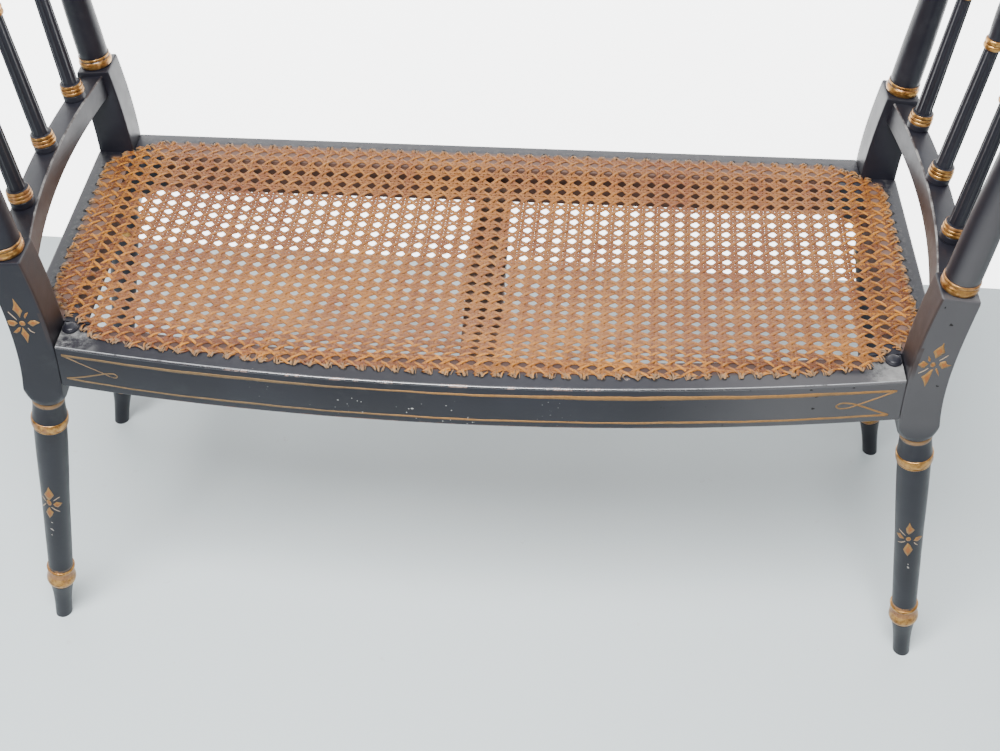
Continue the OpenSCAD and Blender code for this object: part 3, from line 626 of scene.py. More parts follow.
def leg(which):
    """Right-hand leg with its centre at y = 0 and the seat towards +Y for a front leg."""
    sp = SPLAY[which]
    L = (SEAT + LEG_Z) / math.cos(sp)
    ldir = np.array([-math.sin(sp), math.cos(sp)])
    bd = Build()
    lr = 16.5
    sect = [
        (crom([(9.3, 0), (9.4, 8), (9.6, 20), (10.1, 33), (10.9, 44), (12.1, 54.5), (13.3, 63.4)], 4), 0),
        ([(13.3, 63.4), (12.9, 64.2)], 3),
        (crom([(12.9, 64.2), (14.3, 65.2), (15.5, 66.9)], 3), 2),
        (crom([(15.5, 66.9), (16.2, 70.4), (15.8, 75.0), (14.8, 80.0)], 5), 1),
        (crom([(14.8, 80.0), (14.0, 85.0), (13.8, 88.3)], 3), 2),
        (bead(13.9, 15.4, 88.4, 92.8, 10), 1),
        (crom([(13.9, 92.8), (13.5, 94.4), (13.3, 96.2)], 3), 3),
        (crom([(13.3, 96.2), (14.05, 160), (14.7, 219), (15.7, 262), (16.35, L - 70), (lr, L - 44), (lr, L - 42.4)], 4), 0),
        (crom([(lr, L - 42.4), (lr + 1.0, L - 42), (lr + 1.15, L - 40.6), (lr + 0.8, L - 40.0)], 2), 1),
        ([(lr + 0.8, L - 40.0), (lr + 0.4, L - 39.7), (lr + 0.9, L - 39.4)], 3),
        (bead(lr + 0.9, lr + 2.1, L - 39.4, L - 31.2, 8)[:6], 1),
        (bead(lr + 0.9, lr + 2.1, L - 39.4, L - 29.4, 8)[5:], 1),
        (crom([(lr + 0.9, L - 29.4), (lr + 0.3, L - 25), (lr - 0.3, L - 19), (lr - 0.75, L - 12), (lr - 0.8, L - 6.4)], 3), 0),
        ([(lr - 0.8, L - 6.4), (lr - 0.5, L - 6.0), (lr - 0.5, L - 1.2), (lr - 0.8, L - 0.8)], 5),
        ([(lr - 0.8, L - 0.8), (lr - 0.9, L + 1.5), (13.0, L + 5)], 0),
    ]
    v, f, mi = lathe(sect, 72, cap=(False, True))
    v = chain(rot_y(-sp), shift(LEG_X + (SEAT + LEG_Z) * math.tan(sp), 0, 0))(v)
    # the foot is cut level: its lowest ring slides along the axis to the floor
    first = v[:72]
    axis = np.array([-math.sin(sp), 0, math.cos(sp)])
    v[:72] = first - np.outer(first[:, 2] / axis[2], axis)
    c = len(v)
    v = np.vstack([v, v[:72].mean(0)])
    f += [[c, (k + 1) % 72, k] for k in range(72)]
    mi += [0] * 72
    bd.add(v, f, mi)

    # square block: rounded-rectangle sections, turned away at the shoulder
    secs = []
    for du in (-0.6, 0.2, 1.2, 2.4, 3.8):
        c2 = np.array([LEG_X, LEG_Z]) + du * ldir
        secs.append((c2, -sp, 38.6))
    for k in range(1, 45):
        t = 0.02 + (1 - 0.02) * ((k - 1) / 43) ** 1.5
        d = bez_d(t)
        ph = math.atan2(d[0], d[1])
        w = min(1.0, t / 0.16)
        w = w * w * (3 - 2 * w)
        secs.append((bez(t), -sp * (1 - w) + ph * w, blk_w(t)))
    pd = np.array([math.sin(LEAN), math.cos(LEAN)])
    top = np.array([BLK_X, BLK_TOP])
    secs.append((top - 1.1 * pd, LEAN, 34.2))
    rings = []
    for c2, ph, w in secs:
        pts, tag = rrect(-w / 2, w / 2, -BH, BH, (1.5, 1.5, 1.5, 1.5), 4)
        # extra points along the sides keep the turned shoulder round
        full = []
        for a, b, tg in zip(pts, pts[1:] + pts[:1], tag):
            full.append(a)
            if tg in ("bottom", "right", "top", "left"):
                for j in range(1, 12):
                    full.append([a[0] + (b[0] - a[0]) * j / 12, a[1] + (b[1] - a[1]) * j / 12])
        u = (c2 - np.array([LEG_X, LEG_Z])) @ ldir
        lim = float(np.interp(u, [q[0] for q in SHOULDER], [q[1] for q in SHOULDER]))
        ex = np.array([math.cos(ph), 0, -math.sin(ph)])
        ring = []
        for px, py in full:
            rho = math.hypot(px, py)
            k_ = softmin(rho, lim) / rho
            p3 = np.array([c2[0], 0, c2[1] + SEAT]) + ex * px * k_
            ring.append([p3[0], py * k_, p3[2]])
        rings.append(ring)
    ex = np.array([math.cos(LEAN), 0, -math.sin(LEAN)])
    for inset, up in ((0.35, 0.75), (1.1, 1.1)):
        base = np.array(rings[-1 if inset == 0.35 else -2])
        cen = np.array([top[0] - 1.1 * pd[0], 0, top[1] - 1.1 * pd[1] + SEAT])
        rel = base - cen
        lx = rel @ ex
        nx = lx * (1 - inset / 17.1)
        ny = rel[:, 1] * (1 - inset / BH)
        rings.append((cen + np.outer(nx, ex) + np.outer(np.full(len(nx), up), np.array([pd[0], 0, pd[1]])) +
                      np.outer(ny, [0, 1, 0])).tolist())
    n = len(rings[0])

    def which_mat(k, s):
        q = np.array(rings[k][s]) + np.array(rings[k][(s + 1) % n])
        cx = (secs[min(k, len(secs) - 1)][0])[0] * 2
        if which == "front" and k > 9 and q[0] < cx - 31 and k < len(rings) - 3:
            return 4
        return 0
    bd.add(*loft(rings, which_mat))
    return bd


def place(bd, right, dy, flip):
    """Puts a right-hand build where it belongs; flip turns front to back."""
    v = np.array(bd.v)
    f = bd.f
    if flip:
        v = v * [1, -1, 1]
        f = [q[::-1] for q in f]
    v = v + [0, dy, 0]
    if not right:
        v = v * [-1, 1, 1]
        f = [q[::-1] for q in f]
    out = Build()
    out.v, out.f, out.i = v.tolist(), f, list(bd.i)
    return out


LEG_MATS = [PAINT, GILT, GILT_DULL, GILT_GROOVE_SHADE, PAINT_BROWN_ALL, NECK]
leg_f, leg_r_ = leg("front"), leg("rear")
for side in (True, False):
    s = "right" if side else "left"
    o = place(leg_f, side, YF, False).obj("leg_front_%s_turned" % s, LEG_MATS, sharp=50)
    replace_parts(o, "leg_front_" + s)
    o = place(leg_r_, side, YR, True).obj("leg_rear_%s_turned" % s, LEG_MATS, sharp=50)
    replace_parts(o, "leg_rear_" + s)

# -------------------------------------------------------------- seat rails


def rail_front():
    xs = np.concatenate([np.linspace(-398, 398, 61)])
    prof, tag = rrect(0, 1, -FRONT_H, 0, (0, 0, 0, 0), 1)
    rings = []
    for k in range(-1, len(xs) + 1):
        end = 0 if 0 <= k < len(xs) else (-1 if k < 0 else 1)
        x = xs[min(max(k, 0), len(xs) - 1)]
        yo, yi = arc_at(R, x), arc_at(R_IN, x)
        pts, tag = rrect(yo, yi, -FRONT_H, 0, (1.8, 0.8, 2.4, 2.0), 4)
        ring = []
        for py, pz in pts:
            xx = x if end == 0 else end * (face_x(pz) - 1.2)
            if end:
                o2, i2 = arc_at(R, xx), arc_at(R_IN, xx)
                py = o2 + (py - yo) / (yi - yo) * (i2 - o2)
            ring.append([xx, py, pz + SEAT])
        rings.append(ring)
    lut = {"ul": 1, "top": 2, "ur": 2, "right": 3, "ll": 4, "left": 5, "bottom": 4}
    v, f, mi = loft(rings, lambda k, s: lut.get(tag[s], 0))
    b = Build()
    b.add(v, f, mi)
    return b


o = rail_front().obj("seat_rail_front_body", [PAINT, PAINT_EDGE, PAINT_TOP, RED_WOOD, PAINT_LOW, PAINT_FACE])
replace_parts(o, "seat_rail_front")


def rail_rear():
    xs = np.linspace(-398, 398, 21)
    pts, tag = rrect(REAR_IN, REAR_OUT, -REAR_H, 0, (1.0, 1.8, 2.2, 2.6), 4)
    rings = []
    for k in range(-1, len(xs) + 1):
        end = 0 if 0 <= k < len(xs) else (-1 if k < 0 else 1)
        rings.append([[xs[min(max(k, 0), len(xs) - 1)] if not end else end * (face_x(pz) - 0.6), py, pz + SEAT] for py, pz in pts])
    lut = {"left": 1, "top": 2, "ul": 2}
    v, f, mi = loft(rings, lambda k, s: lut.get(tag[s], 0))
    b = Build()
    b.add(v, f, mi)
    return b


o = rail_rear().obj("seat_rail_rear_body", [PAINT, RED_WOOD, PAINT_REAR])
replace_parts(o, "seat_rail_rear")


def rail_side():
    pts, tag = rrect(SIDE_IN, SIDE_OUT, -SIDE_H, 0, (1.0, 1.8, 2.2, 0.6), 4)
    ys = [Y_FR + 0.3, Y_FR + 1.0] + list(np.linspace(Y_FR + 12, Y_RF - 12, 9)) + [Y_RF - 1.0, Y_RF - 0.3]
    rings = [[[px, y, pz + SEAT] for px, pz in pts] for y in ys]
    lut = {"left": 1, "top": 2, "ul": 2}
    v, f, mi = loft(rings, lambda k, s: lut.get(tag[s], 0))
    b = Build()
    b.add(v, [q[::-1] for q in f], mi)
    return b


sr = rail_side()
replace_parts(sr.obj("seat_rail_right_body", [PAINT, RED_WOOD, PAINT_SIDE]), "seat_rail_right")
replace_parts(sr.mirrored().obj("seat_rail_left_body", [PAINT, RED_WOOD, PAINT_SIDE]), "seat_rail_left")


def centre():
    """Cross rail with slightly eased edges."""
    zt = -25.0
    y0, y1 = arc_at(R_IN, 0) - 1, REAR_IN + 1
    rings = []
    for k in range(17):
        y = y0 + (y1 - y0) * k / 16
        pts, tag = rrect(-19.5, 19.5, zt - 22, zt, (1.5, 1.5, 2.2, 2.2), 3)
        rings.append([[px, y, pz + SEAT] for px, pz in pts])
    v, f, mi = loft(rings)
    b = Build()
    b.add(v, [q[::-1] for q in f], mi)
    return b


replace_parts(centre().obj("centre_rail_body", [WOOD], slot="bare_wood"), "centre_rail")

for n_ in ("corner_block_front_left", "corner_block_front_right", "corner_block_rear_left", "corner_block_rear_right"):
    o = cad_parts[n_]
    o.data.materials.clear()
    o.data.materials.append(PAINT)

# ------------------------------------------------------------------- pegs
PEG_X, PEG_Y = CI - 9.4, YF + 8
b = Build()
sect = [(crom([(7.8, -0.2), (8.0, 0.6), (7.8, 1.6), (7.1, 2.5)], 3), 0), ([(7.1, 2.5), (6.7, 2.4)], 0),
        (crom([(6.7, 2.4), (6.2, 3.2), (5.0, 4.1), (3.0, 4.7), (0.8, 4.9), (0.02, 4.9)], 3), 0)]
for sx in (1, -1):
    v, f, mi = lathe(sect, 40)
    b.add(v, f, mi, shift(sx * PEG_X, PEG_Y, SEAT))
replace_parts(b.obj("corner_pegs_domed", [PAINT_PEG]), "corner_pegs")

# -------------------------------------------------------------------- ends
END = chain(rot_y(LEAN), shift(BLK_X, YM, SEAT + BLK_TOP))


def side_pair(bd, fmt, mats, node, **kw):
    for right in (True, False):
        s = "right" if right else "left"
        o_ = (bd if right else bd.mirrored()).obj(fmt % s, mats, **kw)
        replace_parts(o_, node % s)


# lower arm rail
rings = []
e = POST_OFF - BH
ys = [-e + 0.3, -e + 1.2] + list(np.linspace(-e + 8, e - 8, 27)) + [e - 1.2, e - 0.3]
for y in ys:
    pts, tag = rrect(rail_inner(y), rail_outer(y), RAIL_TOP - RAIL_T, RAIL_TOP, (1.4, 1.4, 1.6, 1.5), 4)
    rings.append([[px, y, pz] for px, pz in pts])
lut = {"left": 1, "ul": 2, "ur": 3}
v, f, mi = loft(rings, lambda k, s: lut.get(tag[s], 0))
b = Build()
b.add(v, [q[::-1] for q in f], mi, END)
side_pair(b, "arm_rail_%s_body", [PAINT, PAINT_BROWN, ARM_EDGE, PAINT_EDGE_SOFT], "arm_rail_%s")

# posts
S = POST_LEN
for nm, y, g in (("front", -POST_OFF, 0.7), ("rear", POST_OFF, 0.0)):
    sect = [
        (crom([(14.3, 0), (15.6, 0.5), (16.6, 1.6)], 3), 2),
        (crom([(16.6, 1.6), (17.4, 4.6), (17.0, 7.0), (16.2, 8.5)], 4), 1),
        ([(16.2, 8.5), (15.3 + g, 9.4)], 2),
        *beads(15.3 + g, 16.4 + g, 9.5, 12.5),
        (crom([(15.4 + g, 12.7), (15.1 + g, 50), (14 + g, 104), (13.2 + g / 2, 140), (12.5, 190), (12.1, S - 21)], 5), 0),
        (bead(12.1, 13.4, S - 21, S - 17.5, 6), 0),
        *beads(12.2, 14.8, S - 17.3, S - 9.8),
        (crom([(12.3, S - 9.8), (12.9, S - 6), (14.2, S)], 3), 0)]
    v, f, mi = lathe(sect, 64)
    b = Build()
    b.add(v, f, mi, chain(shift(0, y, 0), END))
    side_pair(b, "arm_post_" + nm + "_%s_turned", [PAINT, GILT, GILT_GROOVE_SHADE], "arm_post_" + nm + "_%s")

# spindles, fluted below the ring
S = SP_LEN
for k, nm in enumerate(("front", "middle", "rear")):
    lean = math.atan2(SP_HEAD[k] - SP_FOOT[k], S)
    base = [(crom([(11.0, 0), (11.5, 0.7), (11.45, 3.5), (11.4, 6.6), (10.9, 7.1)], 3), 0),
            *beads(10.5, 12.0, 7.1, 11.0), *beads(10.4, 11.8, 11.1, 14.7), *beads(10.0, 11.2, 14.8, 18.3),
            (crom([(10.4, 18.3), (9.2, 18.9), (8.3, 19.1)], 2), 0)]
    shaft = [([(8.3, 19.1), (8.2, 26), (8.0, 50), (7.65, 75), (7.35, 100), (7.05, 125), (6.85, 146)], 0)]
    upper = [([(6.9, 146), (7.4, 147.4)], 0), *beads(7.4, 9.1, 147.6, 152.4), *beads(7.5, 9.1, 152.6, 157.4),
             (crom([(7.7, 157.6), (7.7, 160), (8.6, 170), (9.3, 182), (9.6, 196), (9.3, 210), (8.4, 224), (7.3, S - 24), (6.9, S - 19)], 4), 0),
             *beads(7.1, 8.9, S - 19, S - 14.2), *beads(7.3, 9.1, S - 14, S - 9.6),
             (crom([(7.6, S - 9.4), (8.0, S - 5), (9.4, S)], 3), 0)]

    b = Build()
    put = chain(rot_y(lean), shift(SP_FOOT[k], SP_Y[k], RAIL_TOP), END)
    v, f, mi = lathe(base, 48)
    b.add(v, f, mi, put)
    v, f, mi = lathe(shaft, 88, flute=lambda u: (11, 0.95 * min(1.0, max(0.0, (u - 18) / 6.0))), cap=(True, True))
    b.add(v, f, mi, put)
    v, f, mi = lathe(upper, 48)
    b.add(v, f, mi, put)
    side_pair(b, "spindle_%s_" + nm + "_turned", [PAINT, GILT, GILT_GROOVE_SHADE], "spindle_%s_" + nm, sharp=28)

# top rails: bowed, rounded over, with rounded ends past the posts
S = POST_LEN
rings = []
yo = POST_OFF + 4
ext = TOP_W / 2
ys = [-yo - ext * math.cos(a) for a in np.radians(np.linspace(4, 90, 9))] + list(np.linspace(-yo + 6, yo - 6, 31)) + \
     [yo + ext * math.cos(a) for a in np.radians(np.linspace(90, 4, 9))]
for y in ys:
    over = max(0.0, abs(y) - yo) / ext
    hw = TOP_W / 2 * math.sqrt(max(0.0, 1 - over * over))
    yy = max(-yo, min(yo, y))
    cx = on_top(yy)
    sl = -yy / math.sqrt(TOP_R ** 2 - yy * yy)
    cx += sl * (y - yy)
    top_z = TOP_T - 3.0 * over ** 3
    pts, tag = rrect(cx - hw, cx + hw, S, S + top_z, tuple(min(q, hw * 0.98) for q in (2.6, 2.6, 8.0, 8.0)), 6)
    rings.append([[px, y, pz] for px, pz in pts])
v, f, mi = loft(rings)
b = Build()
b.add(v, [q[::-1] for q in f], mi, END)
side_pair(b, "top_rail_%s_body", [PAINT], "top_rail_%s", sharp=60)

# -------------------------------------------------------------------- cane
PX, PY = 16.0, 14.2
SHEAR = 0.044
EV, EH = 1.82, 1.74
HALF_W = 1.63


def lat(a, b_):
    """Opening (a, b) of the weave: a slightly bowed and skewed lattice."""
    return np.array([
        -107.4 + 15.84 * a - 0.84 * b_ + 0.0105 * a * a - 0.0057 * a * b_ + 0.0037 * b_ * b_ + 0.00079 * a * a * b_
        - 0.00008 * a ** 3 - 0.00015 * b_ ** 3 - 0.000165 * a * b_ * b_,
        -12.8 - 14.33 * b_ + 0.171 * a + 0.044 * b_ * b_ + 0.005 * a * b_ - 0.0055 * a * a + 0.0036 * b_ ** 3
        - 0.0003 * a * a * b_ - 0.00009 * a ** 3 - 0.00042 * a * b_ * b_])


right_edge = [(0, 175), (200, 175), (370, 175), (385, 167), (400, 156.5), (413.8, 148), (423.5, 131), (423.5, -70), (419, -86),
              (410, -102), (402, -114), (392, -120.5), (380.5, -127.5), (377.5, -141), (360, -147.5), (341, -150.5)]
front_edge = [(x, arc_at(R - 14.5, x)) for x in np.linspace(320, -320, 65)]
poly = [q for q in right_edge] + front_edge + [(-x, y) for x, y in right_edge[::-1]]
poly = np.array(poly[:-1], float)


PJ = np.roll(poly, 1, axis=0)


def inside(p):
    x, y = p
    cr = (poly[:, 1] > y) != (PJ[:, 1] > y)
    a_, c_ = poly[cr], PJ[cr]
    return bool((x < (c_[:, 0] - a_[:, 0]) * (y - a_[:, 1]) / (c_[:, 1] - a_[:, 1]) + a_[:, 0]).sum() % 2)


def sag(x, y):
    """How far the cane lies below the rails' tops."""
    xa = max(-SIDE_IN, min(SIDE_IN, x))
    y0, y1 = arc_at(R_IN, xa), REAR_IN
    if abs(x) >= SIDE_IN or y <= y0 or y >= y1:
        return 0.0
    f_ = (y - y0) / (y1 - y0)
    return 18.0 * (1 - abs(x / SIDE_IN) ** 2.4) * (1 - abs(2 * f_ - 1) ** 2.2)


# holes along the edge line
closed = np.vstack([poly, poly[:1]])
seg = np.linalg.norm(np.diff(closed, axis=0), axis=1)
cum = np.concatenate([[0], np.cumsum(seg)])
total = cum[-1]
n_holes = int(round(total / 15.4))
holes = []
for k in range(n_holes):
    s = total * k / n_holes
    holes.append([np.interp(s, cum, closed[:, 0]), np.interp(s, cum, closed[:, 1])])
holes = np.array(holes)
# the front and rear holes follow the strands' columns
for k, (x, y) in enumerate(holes):
    if abs(x) < 365 and (y > 170 or y < -148):
        b_ = (-y - 9.0) / PY
        a_ = (x + 106.3) / PX + SHEAR * b_
        a_ = round(a_ - 0.5) + 0.5
        x2 = -106.3 + PX * (a_ - SHEAR * b_)
        holes[k] = [x2, 175.0 if y > 0 else arc_at(R - 14.5, x2) if abs(x2) < 325 else y]
keep = []
for h in holes:
    if all(np.hypot(*(h - g)) > 7.5 for g in keep):
        keep.append(h)
holes = np.array(keep)


def nearest_hole(p):
    d = np.hypot(holes[:, 0] - p[0], holes[:, 1] - p[1])
    return holes[int(d.argmin())], float(d.min())


cane = Build()
tones, crest_highlights, tips = [], [], []
SEC = [(-1.0, -0.10), (-0.62, 0.36), (0.0, 0.52), (0.62, 0.36), (1.0, -0.10), (0.0, -0.30)]


def strand(points, tone, width=HALF_W, crest_highlight=None, tip=None):
    """A flat oval strand through 3-D points; its ends are closed."""
    p = np.array(points, float)
    width = np.ones(len(p)) * width
    if len(p) < 3:
        return
    d = np.gradient(p, axis=0)
    d /= np.linalg.norm(d, axis=1)[:, None]
    side = np.stack([-d[:, 1], d[:, 0], np.zeros(len(d))], 1)
    ln = np.linalg.norm(side, axis=1)
    for k in range(len(ln)):
        if ln[k] < 0.15:
            side[k] = side[k - 1] if k else side[min(k + 1, len(ln) - 1)]
    side /= np.maximum(np.linalg.norm(side, axis=1), 1e-6)[:, None]
    up = np.cross(d, side)
    up *= np.sign(up[:, 2:3] + 1e-9)
    rings_ = []
    for k in range(len(p)):
        rings_.append([p[k] + side[k] * width[k] * sx + up[k] * sz * 0.95 for sx, sz in SEC])
    v_, f_, mi_ = loft(rings_)
    cane.add(v_, f_)
    tones.extend([tone] * len(v_))
    for k in range(len(p)):
        crest_highlights.extend([0.0 if crest_highlight is None else crest_highlight[k]] * len(SEC))
        tips.extend([0.0 if tip is None else tip[k]] * len(SEC))


def run_strand(samples, width=HALF_W, bright=0.0, lo_t=0.0, hi_t=0.6, margin=4.2, swell=0.0):
    """samples: (x, y, dz) along a straight strand. Parts inside the edge line become strands that dive into holes."""
    run = []
    tone0 = rng.uniform(lo_t, hi_t)

    def close(run_):
        if len(run_) < 3:
            return
        pts = [[x, y, SEAT + 0.75 + dz - sag(x, y)] for x, y, dz in run_]
        # strands lie flatter and wider in the sagging middle than over the rails
        wid, tp = [1.0 + swell * min(1.0, sag(x, y) / 5.0) for x, y, dz in run_], [0.0] * len(pts)
        for end in (0, -1):
            h, dist = nearest_hole(pts[end][:2])
            if dist > 15:
                continue
            e0, e1 = np.array(pts[end][:2]), np.array(pts[end + 2 if end == 0 else end - 2][:2])
            dv = (e0 - e1) / max(1e-6, np.linalg.norm(e0 - e1))
            nat = e0 + dv * (float((h - e0) @ dv) if abs(float((h - e0) @ dv)) < 8 else 3.0)
            q = h * 0.5 + nat * 0.5 + [rng.uniform(-1.0, 1.0), rng.uniform(-0.8, 0.8)]
            tip = [[q[0] * 0.6 + pts[end][0] * 0.4, q[1] * 0.6 + pts[end][1] * 0.4, SEAT + 0.9 + rng.uniform(0.1, 1.6)],
                   [q[0], q[1], SEAT + 0.2], [q[0] * 1.0, q[1], SEAT - 5.0]]
            wid[end], tp[end] = 0.86 * wid[end], 0.35
            pts = (tip[::-1] + pts) if end == 0 else (pts + tip)
            wid = ([0.5, 0.5, 0.66] + wid) if end == 0 else (wid + [0.66, 0.5, 0.5])
            tp = ([1.0, 1.0, 0.8] + tp) if end == 0 else (tp + [0.8, 1.0, 1.0])
        # how far each point rides above the weave: it sets the painted highlight on the crests
        kn = [min(1.0, max(0.0, bright * (p_[2] - SEAT + sag(p_[0], p_[1]) - 0.7))) for p_ in pts]
        strand(pts, min(1.0, max(0.0, tone0 + rng.uniform(-0.15, 0.15))), width * np.array(wid), kn, tp)

    for x, y, dz in samples:
        if inside((x, y)) and nearest_hole((x, y))[1] > margin:
            run.append((x, y, dz))
        else:
            close(run)
            run = []
    close(run)


A0, A1, B_0, B_1 = -22, 35, -14, 14
U = 0.42  # half a strand's thickness
for i in range(A0, A1):
    for sgn in (-1, 1):
        jit = rng.uniform(-0.22, 0.22)
        pts = []
        for j in range(B_0, B_1):
            for db, dz in ((0.0, 0.0), (0.25, 0.0), (0.5 - EH / PY, U * sgn), (0.5 + EH / PY, -U * sgn), (0.75, 0.0)):
                q = lat(i + 0.5 + (sgn * EV + jit) / PX, j + db)
                pts.append((q[0], q[1] + rng.uniform(-0.15, 0.15), dz))
        run_strand(pts)
for j in range(B_0, B_1):
    for sgn in (-1, 1):
        jit = rng.uniform(-0.22, 0.22)
        pts = []
        for i in range(A0, A1):
            for da, dz in ((0.0, 0.0), (0.25, 0.0), (0.5 - EV / PX, -U * -sgn), (0.5 + EV / PX, U * -sgn), (0.75, 0.0)):
                q = lat(i + da, j + 0.5 + (sgn * EH + jit) / PY)
                pts.append((q[0], q[1] + rng.uniform(-0.15, 0.15), dz))
        run_strand(pts, HALF_W * 1.04, margin=6.0)
D = 0.86
# falling to the right: over the cross strands, under the long ones
for c_ in range(A0 - B_1, A1 - B_0):
    pts = []
    for k in range(B_0 * 4, B_1 * 4):
        b_ = k / 4.0
        a_ = c_ + 0.5 + b_
        ph = (b_ % 1.0)
        dz = {0.0: -D, 0.25: 0.0, 0.5: D, 0.75: 0.0}[ph]
        q = lat(a_, b_)
        pts.append((q[0], q[1], dz))
    run_strand(pts, HALF_W * 0.95, 0.9, 0.15, 0.9, swell=0.30)
for c_ in range(A0 + B_0, A1 + B_1):
    pts = []
    for k in range(B_0 * 4, B_1 * 4):
        b_ = k / 4.0
        a_ = c_ + 0.5 - b_
        ph = (b_ % 1.0)
        dz = {0.0: D, 0.25: 0.0, 0.5: -D, 0.75: 0.0}[ph]
        q = lat(a_, b_)
        pts.append((q[0], q[1], dz))
    run_strand(pts, HALF_W * 0.95, 0.9, 0.15, 0.9, swell=0.30)

# short loops of cane at the holes
for h in holes:
    if np.hypot(abs(h[0]) - PEG_X, h[1] - PEG_Y) < 11:
        continue
    cx_, cy_ = 0.0, 0.0
    out = np.array([h[0] * 0.25, h[1] - 10]) if abs(h[0]) < 395 else np.array([np.sign(h[0]) * 30.0, 0.0])
    out = out / max(1e-6, np.linalg.norm(out))
    tng = np.array([-out[1], out[0]])
    s0 = rng.uniform(-1, 1)
    a0 = h + tng * (2.4 * s0) + out * 0.6
    a1 = h - out * rng.uniform(4, 7) + tng * rng.uniform(-5, 5)
    mid = (a0 + a1) / 2
    strand([[a0[0] + out[0], a0[1] + out[1], SEAT - 4.0], [a0[0], a0[1], SEAT + 0.5], [mid[0], mid[1], SEAT + 2.1],
            [a1[0], a1[1], SEAT + 0.9], [a1[0] - out[0] * 2, a1[1] - out[1] * 2, SEAT + 0.2]],
           rng.uniform(0.4, 1.0), 0.95, [0.2, 0.4, 0.6, 0.3, 0.0], [1.0, 0.8, 0.3, 0.0, 0.0])
    # frayed fibres beside each hole
    for _ in range(3):
        s0 = rng.uniform(-4.5, 4.5)
        a0 = h + tng * s0 + out * rng.uniform(-0.5, 1.8)
        a1 = h + tng * (s0 + rng.uniform(-2.5, 2.5)) - out * rng.uniform(3.5, 8.5)
        z0, z1 = rng.uniform(0.5, 1.0), rng.uniform(1.2, 2.3)
        strand([[a0[0], a0[1], SEAT + z0 - 0.6], [a0[0] * 0.6 + a1[0] * 0.4, a0[1] * 0.6 + a1[1] * 0.4, SEAT + z0 + 0.6],
                [a1[0], a1[1], SEAT + z1]], rng.uniform(0.2, 1.0), rng.uniform(0.28, 0.6), None, [1.0, 0.8, 0.5])

o = mesh_obj("cane_panel_woven", cane.v, cane.f, [CANE], cane.i, sharp=None, slot="woven_cane",
             attrs={"tone": tones, "crest_highlight": crest_highlights, "tip": tips})
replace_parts(o, "cane_panel")

# holes drilled in the rails just outside the weave, drawn as near-black discs: painted shade for their depth
b = Build()
for h in holes:
    if np.hypot(abs(h[0]) - PEG_X, h[1] - PEG_Y) < 12:
        continue
    out = np.array([0.0, h[1]]) if abs(h[0]) < 395 else np.array([h[0], 0.0])
    out = out / max(1e-6, np.linalg.norm(out))
    c2 = h + out * rng.uniform(0.3, 1.5)
    n = 18
    rings = [[[c2[0] + r_ * math.cos(2 * math.pi * t / n) * (1.0), c2[1] + r_ * math.sin(2 * math.pi * t / n), SEAT + z_] for t in range(n)]
             for r_, z_ in ((1.7, -1.2), (2.2, -0.4), (2.35, 0.10), (2.0, 0.14), (1.7, 0.12))]
    b.add(*loft(rings))
b.obj("cane_holes_shade", [HOLE], slot="ebonised_wood")

# --------------------------------------------------- gold lines on the rail


def ribbon(path, width, surf, thick=0.28, bury=0.35):
    """A thin raised line. path in (x, h); surf(x, h, out) gives the 3-D point out millimetres above the surface."""
    p = np.array(path, float)
    d = np.gradient(p, axis=0)
    d /= np.linalg.norm(d, axis=1)[:, None]
    nrm = np.stack([-d[:, 1], d[:, 0]], 1)
    w = width if np.ndim(width) else np.full(len(p), width)
    rings_ = []
    for k in range(len(p)):
        a_, c_ = p[k] + nrm[k] * w[k] / 2, p[k] - nrm[k] * w[k] / 2
        m_ = p[k]
        rings_.append([surf(*a_, -bury), surf(*a_, thick * 0.4), surf(*m_, thick), surf(*c_, thick * 0.4), surf(*c_, -bury)])
    return loft(rings_)


def on_front(x, h, out):
    r_ = R + out
    return [x, ARC_Y - math.sqrt(r_ * r_ - x * x), SEAT + h]


def dense(pts, step):
    p = np.array(pts, float)
    s = np.concatenate([[0], np.cumsum(np.linalg.norm(np.diff(p, axis=0), axis=1))])
    n = max(2, int(s[-1] / step))
    t = np.linspace(0, s[-1], n + 1)
    return np.stack([np.interp(t, s, p[:, 0]), np.interp(t, s, p[:, 1])], 1)


b = Build()
wob = rng.random() * 6


def wobble(p, amp=0.25):
    q = np.array(p)
    q[:, 1] += amp * np.sin(q[:, 0] * 0.045 + wob) + amp * 0.6 * np.sin(q[:, 0] * 0.13 + 2 * wob)
    return q


up_l = [(-394, -9.5), (-372, -9.8), (-330, -10.2), (-220, -10.4), (-100, -10.6), (0, -10.8), (110, -10.9), (220, -11.0), (330, -11.4), (392, -11.7)]
lo_l = [(-395, -40), (-372, -41.4), (-330, -42.6), (-220, -43.2), (0, -43.6), (220, -43.8), (330, -44.0), (390, -43.5)]
# the brush ran heavier to the right and almost dry left of the middle
up_w = [(-394, 1.0), (-200, 1.15), (-140, 0.95), (-95, 0.6), (-45, 0.65), (0, 0.9), (45, 1.2), (75, 1.62), (310, 1.55), (345, 1.0), (392, 0.9)]
lo_w = [(-395, 1.0), (120, 1.05), (200, 1.3), (330, 1.4), (390, 1.2)]
for path, w0, prof in ((up_l, 2.95, up_w), (lo_l, 2.0, lo_w)):
    q = wobble(dense(path, 5.0))
    heavy = np.interp(q[:, 0], *np.array(prof, float).T)
    ww = heavy * np.array([w0 * (1 + 0.10 * math.sin(x * 0.031 + w0) + rng.uniform(-0.07, 0.07)) for x in q[:, 0]])
    b.add(*ribbon(q, ww, on_front))
